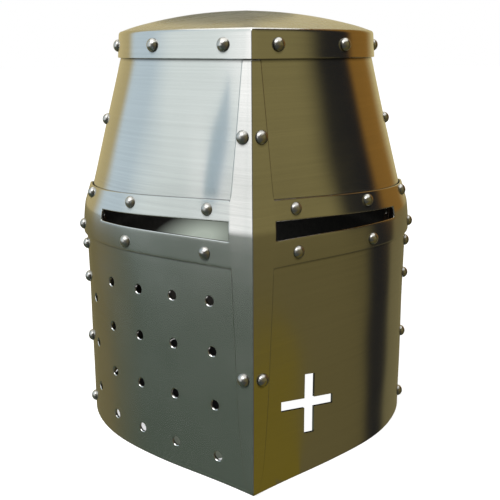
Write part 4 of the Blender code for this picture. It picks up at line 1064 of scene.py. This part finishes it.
def strap_roller(side, start, end, rise, half_width):
    """Flat pattern of a strap from its round end; side is 1 for the left end and -1 for the right end."""
    def place(u, v):
        row = v * (ROUND_ROWS + HANG_ROWS)
        round_turn = (1 - np.minimum(row / ROUND_ROWS, 1)) * math.pi / 2
        turn = between(start, end, np.clip((row - ROUND_ROWS) / HANG_ROWS, 0, 1))
        points = strap_points(turn, rise(turn), side * (1 - 2 * u) * half_width(turn) * np.cos(round_turn))
        points[:, 2] += STRAP_HALF * np.sin(round_turn)
        return points

    return place


def blunt_tip(turn):
    return STRAP_HALF * (1 - TIP_NARROWING * ease(turn, TIP_TURN - TIP_RUN, TIP_TURN))


def add_punch(bm, place, radius):
    bmesh.ops.create_cone(bm, cap_ends=True, segments=PUNCH_STEPS, radius1=radius, radius2=radius,
                          depth=CUT_DEPTH, matrix=place)


def add_box(bm, low, high, place):
    """Box between two corners of a frame."""
    low, high = Vector(low), Vector(high)
    fitted = place @ Matrix.Translation((low + high) / 2) @ Matrix.Diagonal((*(high - low), 1))
    return bmesh.ops.create_cube(bm, size=1, matrix=fitted)["verts"]


def strap_punch(side, box, turns):
    """Cutter for the rivet hole, a box at the buckle and spare holes."""
    bm = bmesh.new()
    anchor = Vector(STRAP_AXIS) + Vector((side * STRAP_ANCHOR, 0, 0))
    add_punch(bm, Matrix.Translation(anchor) @ Matrix.Rotation(math.pi / 2, 4, "Y"), SHANK_RADIUS + CLEARANCE)
    add_box(bm, *box)
    for turn in turns:
        middle = strap_point(turn, strap_rise(turn) + LEATHER / 2)
        inward = strap_point(turn, 1.0) - strap_point(turn)
        add_punch(bm, Matrix.Translation(middle) @ turn_to(inward), HOLE_RADIUS)
    return add_object("strap_punch", bm, ())


prong_slot = ((LOOP_RADIUS, -PRONG_THICKNESS, -PRONG_ROOM),
              (BUCKLE_LENGTH, PRONG_THICKNESS, PRONG_ROOM), prong_frame)
prong_gap = ((-3 * LOOP_RADIUS, -3 * LOOP_RADIUS, -PRONG_ROOM),
             (LOOP_RADIUS + CLEARANCE, 3 * LOOP_RADIUS, PRONG_ROOM), hinge)
long_roller = strap_roller(1, 0.0, TIP_TURN, strap_rise, blunt_tip)
short_roller = strap_roller(-1, math.pi, BUCKLE_TURN + LOOP_REACH / STRAP_ANCHOR, no_rise,
                            lambda turn: STRAP_HALF)
for node, roll_strap, punch in (("chin_strap_long", long_roller, strap_punch(1, prong_slot, HOLE_TURNS)),
                                ("chin_strap_short", short_roller, strap_punch(-1, prong_gap, ()))):
    make_hide(node, rolled_grid(STRAP_COLUMNS, ROUND_ROWS + HANG_ROWS, roll_strap), STRAP_FINISHES,
              (punch,), "chin_strap")


# %% Strap loop and stitches
def strap_line(start, end, y, rise):
    """Sewing line on the outer face of a strap, and the way that it faces."""
    turn = np.arange(start, end, STITCH_PITCH / STRAP_ANCHOR)
    points = strap_points(turn, rise(turn), y)
    return points, points - strap_points(turn, rise(turn) + LEATHER, y)


bm = bmesh.new()
for low, high in ((-STRAP_HALF, -PRONG_ROOM), (PRONG_ROOM, STRAP_HALF)):
    spin_profile(bm, rectangle_ring(LOOP_BORE, LOOP_RADIUS, low, high), LOOP_STEPS, hinge)
close_and_turn_out(bm)
strap_loop = add_object("chin_strap_loop_leather", bm, [strap_grain])
smooth_faces(strap_loop)
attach(strap_loop, "chin_strap")
sewn_y = STRAP_HALF - STRAP_SEW_INSET
sew("strap_stitches",
    [strap_line(*SEWN_LONG, y, strap_rise) for y in (-sewn_y, sewn_y)]
    + [strap_line(*SEWN_SHORT, y, no_rise) for y in (-sewn_y, sewn_y)],
    "chin_strap")

# %% [markdown]
# ## Buckle, prong and keeper
# The buckle is one length of wire bent into a rectangle: a circle is extruded along the straights and spun
# round the corners. The prong is a flat pin whose eye turns on the hinge bar. The keeper is a leather loop
# that slides along both straps, so its pattern is a closed ring that follows the curve of the strap.

# %% Buckle and prong
BUCKLE_SIDE_GAP, BUCKLE_CORNER, CORNER_STEPS, WIRE_STEPS = 0.0008, 0.0026, 6, 14
PRONG_BEVEL, PRONG_BEVEL_STEPS, PRONG_TIP_SHARE = 0.0004, 3, 0.62
buckle_steel = steel_finish("buckle_steel", (0.42, 0.41, 0.39), (0.30, 0.295, 0.28), 0.30, NO_LINES,
                            line_depth=0.00004, dulling=0.15, painted_shade=0.6)


def ring_edges(made):
    """The far ring of a tube that was just pulled out: the edges whose two ends are both new."""
    verts = {item for item in made if isinstance(item, bmesh.types.BMVert)}
    return [item for item in made if isinstance(item, bmesh.types.BMEdge) and verts.issuperset(item.verts)]


bm = bmesh.new()
long_half, wide_half = front_bar.length / 2, STRAP_HALF + BUCKLE_SIDE_GAP + WIRE_RADIUS
long_run, wide_run = long_half - BUCKLE_CORNER, wide_half - BUCKLE_CORNER
bmesh.ops.create_circle(bm, segments=WIRE_STEPS, radius=WIRE_RADIUS,
                        matrix=Matrix.Translation((long_half, 0, -wide_run)))
ring = list(bm.edges)
for direction, run, corner in (((0, 0, 1), wide_run, (1, 1)), ((-1, 0, 0), long_run, (-1, 1)),
                               ((0, 0, -1), wide_run, (-1, -1)), ((1, 0, 0), long_run, (1, -1))):
    pulled = bmesh.ops.extrude_edge_only(bm, edges=ring)["geom"]
    ring = ring_edges(pulled)
    bmesh.ops.translate(bm, verts=[v for v in pulled if isinstance(v, bmesh.types.BMVert)],
                        vec=2 * run * Vector(direction))
    ring_verts = list({vert for edge in ring for vert in edge.verts})
    turned = bmesh.ops.spin(bm, geom=ring_verts + ring, axis=(0, -1, 0), angle=math.pi / 2,
                            steps=CORNER_STEPS, cent=(corner[0] * long_run, 0, corner[1] * wide_run))
    ring = ring_edges(turned["geom_last"])
buckle_tilt = Matrix.Rotation(math.atan2(front_bar.y, front_bar.x), 4, "Z")
bmesh.ops.transform(bm, verts=bm.verts, matrix=hinge @ buckle_tilt @ Matrix.Translation((long_half, 0, 0)))
close_and_turn_out(bm)
make_solid("chin_buckle", bm, buckle_steel, "chin_strap")

bm = bmesh.new()
reach = front_bar.length + 2 * WIRE_RADIUS
half_pin = (PRONG_THICKNESS / 2, PRONG_WIDTH / 2)
pin = add_box(bm, (LOOP_BORE + LOOP_WALL / 2, *(-h for h in half_pin)), (reach, *half_pin), Matrix())
for vert in pin:
    if vert.co.x > reach / 2:
        vert.co.z *= PRONG_TIP_SHARE
bmesh.ops.bevel(bm, geom=list(bm.edges), offset=PRONG_BEVEL, affect="EDGES", segments=PRONG_BEVEL_STEPS,
                profile=0.5, material=-1)
bmesh.ops.transform(bm, verts=bm.verts, matrix=prong_frame)
eye = rectangle_ring(LOOP_BORE, LOOP_RADIUS, -PRONG_WIDTH / 2, PRONG_WIDTH / 2)
spin_profile(bm, eye, LOOP_STEPS, prong_frame)
close_and_turn_out(bm)
make_solid("buckle_prong", bm, buckle_steel, "buckle_prong")

# %% Keeper
KEEPER_WALL, KEEPER_HALF, KEEPER_CORNER = 0.0016, 0.005, 0.0022
KEEPER_COLUMNS, KEEPER_ROWS = 72, 6
keeper_low = -CLEARANCE - KEEPER_WALL
keeper_high = OVERLAP_RISE + LEATHER + CLEARANCE + KEEPER_WALL
keeper_side = STRAP_HALF + CLEARANCE + KEEPER_WALL


def roll_keeper(u, v):
    """Closed ring round both straps: a rectangle with round corners, swept a short way along the strap."""
    turn = between(-1, 1, v) * KEEPER_HALF / STRAP_DROP + KEEPER_TURN
    half_rise = (keeper_high - keeper_low) / 2
    way = np.stack((np.cos(u * math.tau), np.sin(u * math.tau)), -1)
    flat = np.array((half_rise, keeper_side)) - KEEPER_CORNER
    ring = np.clip(2 * keeper_side * way, -flat, flat) + KEEPER_CORNER * way
    return strap_points(turn, ring[:, 0] + keeper_low + half_rise, ring[:, 1])


bm = rolled_grid(KEEPER_COLUMNS, KEEPER_ROWS, roll_keeper)
close_and_turn_out(bm)
make_sheet("strap_keeper", bm, KEEPER_WALL, STRAP_FINISHES, LEATHER_EDGE / 2,
           LEATHER_EDGE_STEPS, body="strap_keeper", suffix="leather", inner=1, rim=2)

# %% [markdown]
# ## Studio
# Polished steel shows the room, so the room matters as much as the steel. A tall round screen stands out
# of sight and only mirrors see it: pale light on the left, warm brown on the right with a dark band and an
# amber band behind it, and darker ground below. Two colour ramps run round the screen, one for the wall and
# one for the ground. All of it is plain glow in a few round colours, so the lamp can stay at a plain level.

# %% Screen colours, by the direction that they stand in: 0 faces the ridge, 90 is right, -90 is left
WHITE, DAYLIGHT, SKY = (1.7, 1.7, 1.7), (1.1, 1.2, 1.2), (0.75, 0.9, 1.0)
SAND, BROWN, AMBER = (0.6, 0.5, 0.25), (0.3, 0.25, 0.1), (0.3, 0.15, 0.03)
SOOT, COAL = (0.02, 0.02, 0.02), (0.1, 0.1, 0.1)
STRAW, MOSS, OLIVE = (0.2, 0.17, 0.08), (0.1, 0.13, 0.1), (0.16, 0.13, 0.05)
FERN, GORSE, BLUE = (0.07, 0.1, 0.07), (0.2, 0.15, 0.02), (0.55, 0.7, 0.8)

WALL = ((-130, SAND), (-120, SKY), (-100, SKY), (-85, DAYLIGHT), (-75, DAYLIGHT), (-70, WHITE), (-60, WHITE),
        (-40, COAL), (60, BROWN), (80, BROWN), (87, SOOT), (103, SOOT), (110, AMBER), (135, AMBER),
        (150, SAND))
GROUND = ((-120, STRAW), (-90, MOSS), (-60, MOSS), (0, COAL), (60, OLIVE), (95, OLIVE), (100, SOOT),
          (115, SOOT), (120, STRAW))
print("screen colours", len(WALL), len(GROUND))

# %% Screen
SCREEN_RADIUS, SCREEN_HALF_HEIGHT, SCREEN_STEPS = 2.5, 4.0, 180
WALL_FOOT = (-0.20, -0.10)


def ramp_node(tree, share, stops):
    made = add_node(tree, "ValToRGB", i0=share)
    elements = made.color_ramp.elements
    while len(elements) < len(stops):
        elements.new(1.0)
    for element, (angle, colour) in zip(elements, stops):
        element.position = (angle + 180) / 360
        element.color = (*colour, 1)
    return made.outputs[0]


def glow_tree(name):
    """New material with only a glow, and its tree and glow node."""
    made = bpy.data.materials.new(name)
    made.use_nodes = True
    tree = made.node_tree
    tree.nodes.remove(tree.nodes["Principled BSDF"])
    glow = add_node(tree, "Emission")
    tree.links.new(glow.outputs[0], tree.nodes["Material Output"].inputs["Surface"])
    return made, tree, glow


def screen_material():
    made, tree, glow = glow_tree("screen")
    place = add_node(tree, "SeparateXYZ", Vector=add_node(tree, "TexCoord").outputs["Object"]).outputs
    back = maths(tree, "MULTIPLY", place["Y"], -1.0)
    turn = maths(tree, "ARCTAN2", place["X"], back)
    share = remap(tree, turn, -math.pi, math.pi)
    wall, ground = (ramp_node(tree, share, stops) for stops in (WALL, GROUND))
    both = mix_colour(tree, remap(tree, place["Z"], *WALL_FOOT), ground, wall)
    tree.links.new(both, glow.inputs["Color"])
    return made


def glow_material(name, colour):
    made, _, glow = glow_tree(name)
    glow.inputs["Color"].default_value = (*colour, 1)
    return made


def set_apart(bm, name, finish, camera=False):
    """Makes a stage piece that only mirrors see, or that the camera sees too."""
    piece = add_object(name, bm, [finish])
    piece.visible_camera = camera
    piece.visible_diffuse = piece.visible_shadow = False
    return piece


bm = bmesh.new()
bmesh.ops.create_cone(bm, cap_ends=False, segments=SCREEN_STEPS, radius1=SCREEN_RADIUS,
                      radius2=SCREEN_RADIUS, depth=2 * SCREEN_HALF_HEIGHT)
set_apart(bm, "mirror_screen", screen_material())
print("screen", SCREEN_RADIUS, "m round the helm")

# %% [markdown]
# ## Cards near the helm
# A photographer sets cards round polished metal to shape what it mirrors. A bright ceiling lights up the
# broken edges and a dark ground keeps the undersides dark. A dark post stands behind for the crown. Two warm
# panels on the floor give the left cheek its glow, and a blue bar close to the skull gives it a soft streak.

# %% Ceiling, ground, post and near panels
DISC_STEPS = 48
CEILING_Z, CEILING_COLOUR, GROUND_Z = 2.9, (1.9, 1.9, 1.85), -3.9
POST_PLACE, POST_SIZE, POST_COLOUR = (-0.03, 2.2, 0.78), (0.30, 0.52), (0.06, 0.07, 0.05)
CHEEK_GLOW = ((0.02, -0.1155, 0), (0.02, -0.139, 0), (0.30, -0.1936, 0), (0.30, -0.1699, 0))
STRIP_GLOW = ((0.0, -0.1251, 0), (0.0, -0.17, 0), (0.30, -0.30, 0), (0.30, -0.2056, 0))
WINDOW_BAR = ((-0.0799, -0.1292, 0.215), (-0.0695, -0.1352, 0.250), (-0.0760, -0.1377, 0.172),
              (-0.0832, -0.1310, 0.172))


def add_disc(name, centre, half_sizes, finish, tilt=0.0, camera=False):
    bm = bmesh.new()
    place = Matrix.Translation(centre) @ Matrix.Rotation(tilt, 4, "X") @ Matrix.Diagonal((*half_sizes, 1, 1))
    bmesh.ops.create_circle(bm, cap_ends=True, segments=DISC_STEPS, radius=1.0, matrix=place)
    set_apart(bm, name, finish, camera)


def add_panel(name, corners, finish, camera=False):
    bm = bmesh.new()
    bm.faces.new([bm.verts.new(corner) for corner in corners])
    set_apart(bm, name, finish, camera)


full = (SCREEN_RADIUS, SCREEN_RADIUS)
gorse = glow_material("gorse", GORSE)
add_disc("bright_ceiling", (0, 0, CEILING_Z), full, glow_material("ceiling", CEILING_COLOUR))
add_disc("dark_ground", (0, 0, GROUND_Z), full, glow_material("ground", FERN))
add_disc("dark_post", POST_PLACE, POST_SIZE, glow_material("post", POST_COLOUR), tilt=math.pi / 2)
add_panel("cheek_glow", CHEEK_GLOW, gorse)
add_panel("strip_glow", STRIP_GLOW, gorse)
add_panel("window_bar", WINDOW_BAR, glow_material("window_bar", BLUE))
print("cards up to", CEILING_Z, "m")

# %% [markdown]
# ## What the holes show
# The helm stands on its rim, and its holes show what lies inside it. A near-black glowing sheet behind the
# right cheek is painted shade that keeps the breath holes dark, with a grey one near the ridge, and a white
# glowing sheet under the cross is painted light. A painted patch of light lies on the inner wall of the nape,
# where the right eye slot looks. It fades out into the dark.

# %% Painted shade and light under the helm and on the nape
STAGE_INSET, SHADE_SHEET_CORNER, SHADE_SHEET_POINTS, SHADE_SHEET_COLOUR = 0.0045, (0.005, -0.060), 40, (0.004, 0.004, 0.004)
APRON_PLACE, APRON_SIZE, APRON_SHADE_COLOUR = (-0.034, -0.080, 2 * CLEARANCE), (0.027, 0.020), (0.10, 0.11, 0.09)
CROSS_LIGHT_PLACE, CROSS_LIGHT_SIZE, CROSS_LIGHT_COLOUR = (0.055, 0.01, 2 * CLEARANCE), (0.042, 0.09), (1, 1, 1)
GLOW_PLACE, GLOW_SIZE, GLOW_RUN = (-0.037, 0.13, 0.093), (0.047, 1.0, 0.024), 0.105
GLOW_CORE, GLOW_COLOUR, GLOW_COLUMNS, GLOW_ROWS = 0.8, (0.40, 0.45, 0.39), 24, 6


def fading_material(name, colour):
    """Glow that fades out from one place."""
    made, tree, glow = glow_tree(name)
    glow.inputs["Color"].default_value = (*colour, 1)
    place = add_node(tree, "TexCoord").outputs["Object"]
    shrunk = vector_maths(tree, "DIVIDE", vector_maths(tree, "SUBTRACT", place, GLOW_PLACE), GLOW_SIZE)
    share = add_node(tree, "TexGradient", [("gradient_type", "SPHERICAL")], Vector=shrunk).outputs[1]
    clear = add_node(tree, "BsdfTransparent").outputs[0]
    faded = add_node(tree, "MixShader", i0=remap(tree, share, 0.0, GLOW_CORE), i1=clear, i2=glow.outputs[0])
    tree.links.new(faded.outputs[0], tree.nodes["Material Output"].inputs["Surface"])
    return made


def roll_glow(u, v):
    """A patch of light on the inner wall of the nape, where the right eye slot shows it."""
    z = GLOW_PLACE[2] + GLOW_SIZE[2] * between(-1, 1, v)
    return shell(between(-HALF_ARC, GLOW_RUN - HALF_ARC, u), z, -STAGE_INSET)


behind = shell(np.linspace(-WIDEST_S, -HALF_ARC, SHADE_SHEET_POINTS), CLEARANCE, -STAGE_INSET)
# Painted shade: a near-black glowing sheet inside the helm, behind the right cheek, keeps the breath holes
# dark.
painted_shade_black = glow_material("painted_shade_black", SHADE_SHEET_COLOUR)
add_panel("cheek_painted_shade", [*behind, (*SHADE_SHEET_CORNER, CLEARANCE)], painted_shade_black, camera=True)
# Painted shade: a grey glowing sheet near the ridge, where the floor inside the helm lies in shade.
add_disc("apron_painted_shade", APRON_PLACE, APRON_SIZE, glow_material("painted_shade_grey", APRON_SHADE_COLOUR), camera=True)
# Painted light: a white glowing sheet under the cross, where the floor inside the helm lies in shade.
add_disc("cross_painted_light", CROSS_LIGHT_PLACE, CROSS_LIGHT_SIZE, glow_material("painted_cross_light", CROSS_LIGHT_COLOUR), camera=True)
glow_patch = rolled_grid(GLOW_COLUMNS, GLOW_ROWS, roll_glow)
slot_glow = set_apart(glow_patch, "slot_glow", fading_material("slot_glow", GLOW_COLOUR), camera=True)
slot_glow.visible_glossy = False
print("painted shade and light under the helm")

# %% [markdown]
# ## Floor, world and lamp
# The floor is pale. Part of its white is seen only by the camera, so that it reads as white paper and still
# keeps the soft shadow of the helm. It stays out of the mirror, which belongs to the screen. The world is
# white to the camera and in reflections, and soft light for everything else. One large lamp adds direction.

# %% Floor, world and lamp
FLOOR_SIZE, FLOOR_COLOUR, FLOOR_GLOW = 20.0, (0.80, 0.80, 0.80), 0.72
SOFT_LIGHT = 0.55


def floor_material():
    made, tree, shader, _ = material_tree("pale_floor")
    shader.inputs["Base Color"].default_value = (*FLOOR_COLOUR, 1)
    shader.inputs["Roughness"].default_value = 0.9
    shader.inputs["Specular IOR Level"].default_value = 0.0
    shader.inputs["Emission Color"].default_value = (1, 1, 1, 1)
    seen = add_node(tree, "LightPath").outputs["Is Camera Ray"]
    tree.links.new(maths(tree, "MULTIPLY", seen, FLOOR_GLOW), shader.inputs["Emission Strength"])
    return made


bm = bmesh.new()
bmesh.ops.create_grid(bm, x_segments=1, y_segments=1, size=FLOOR_SIZE / 2)
floor = add_object("floor", bm, [floor_material()])
floor.visible_glossy = False

world = bpy.data.worlds.new("studio")
world.use_nodes = True
scene.world = world
tree = world.node_tree
path = add_node(tree, "LightPath").outputs
seen = maths(tree, "ADD", maths(tree, "ADD", path["Is Camera Ray"], path["Is Glossy Ray"]),
             path["Is Transmission Ray"])
backdrop = tree.nodes["Background"]
backdrop.inputs["Color"].default_value = (1, 1, 1, 1)
tree.links.new(remap(tree, seen, 0.0, 1.0, SOFT_LIGHT, 1.0), backdrop.inputs["Strength"])

LAMP_PLACE, LAMP_AIM, LAMP_SIZE, LAMP_WATTS = Vector((-0.9, -1.1, 1.7)), Vector((0, 0, 0.12)), 1.2, 18
lamp = bpy.data.objects.new("soft_lamp", bpy.data.lights.new("soft_lamp", "AREA"))
lamp.data.size, lamp.data.energy = LAMP_SIZE, LAMP_WATTS
lamp.matrix_world = Matrix.Translation(LAMP_PLACE) @ turn_to(LAMP_PLACE - LAMP_AIM)
scene.collection.objects.link(lamp)
print("lamp", LAMP_WATTS, "W")
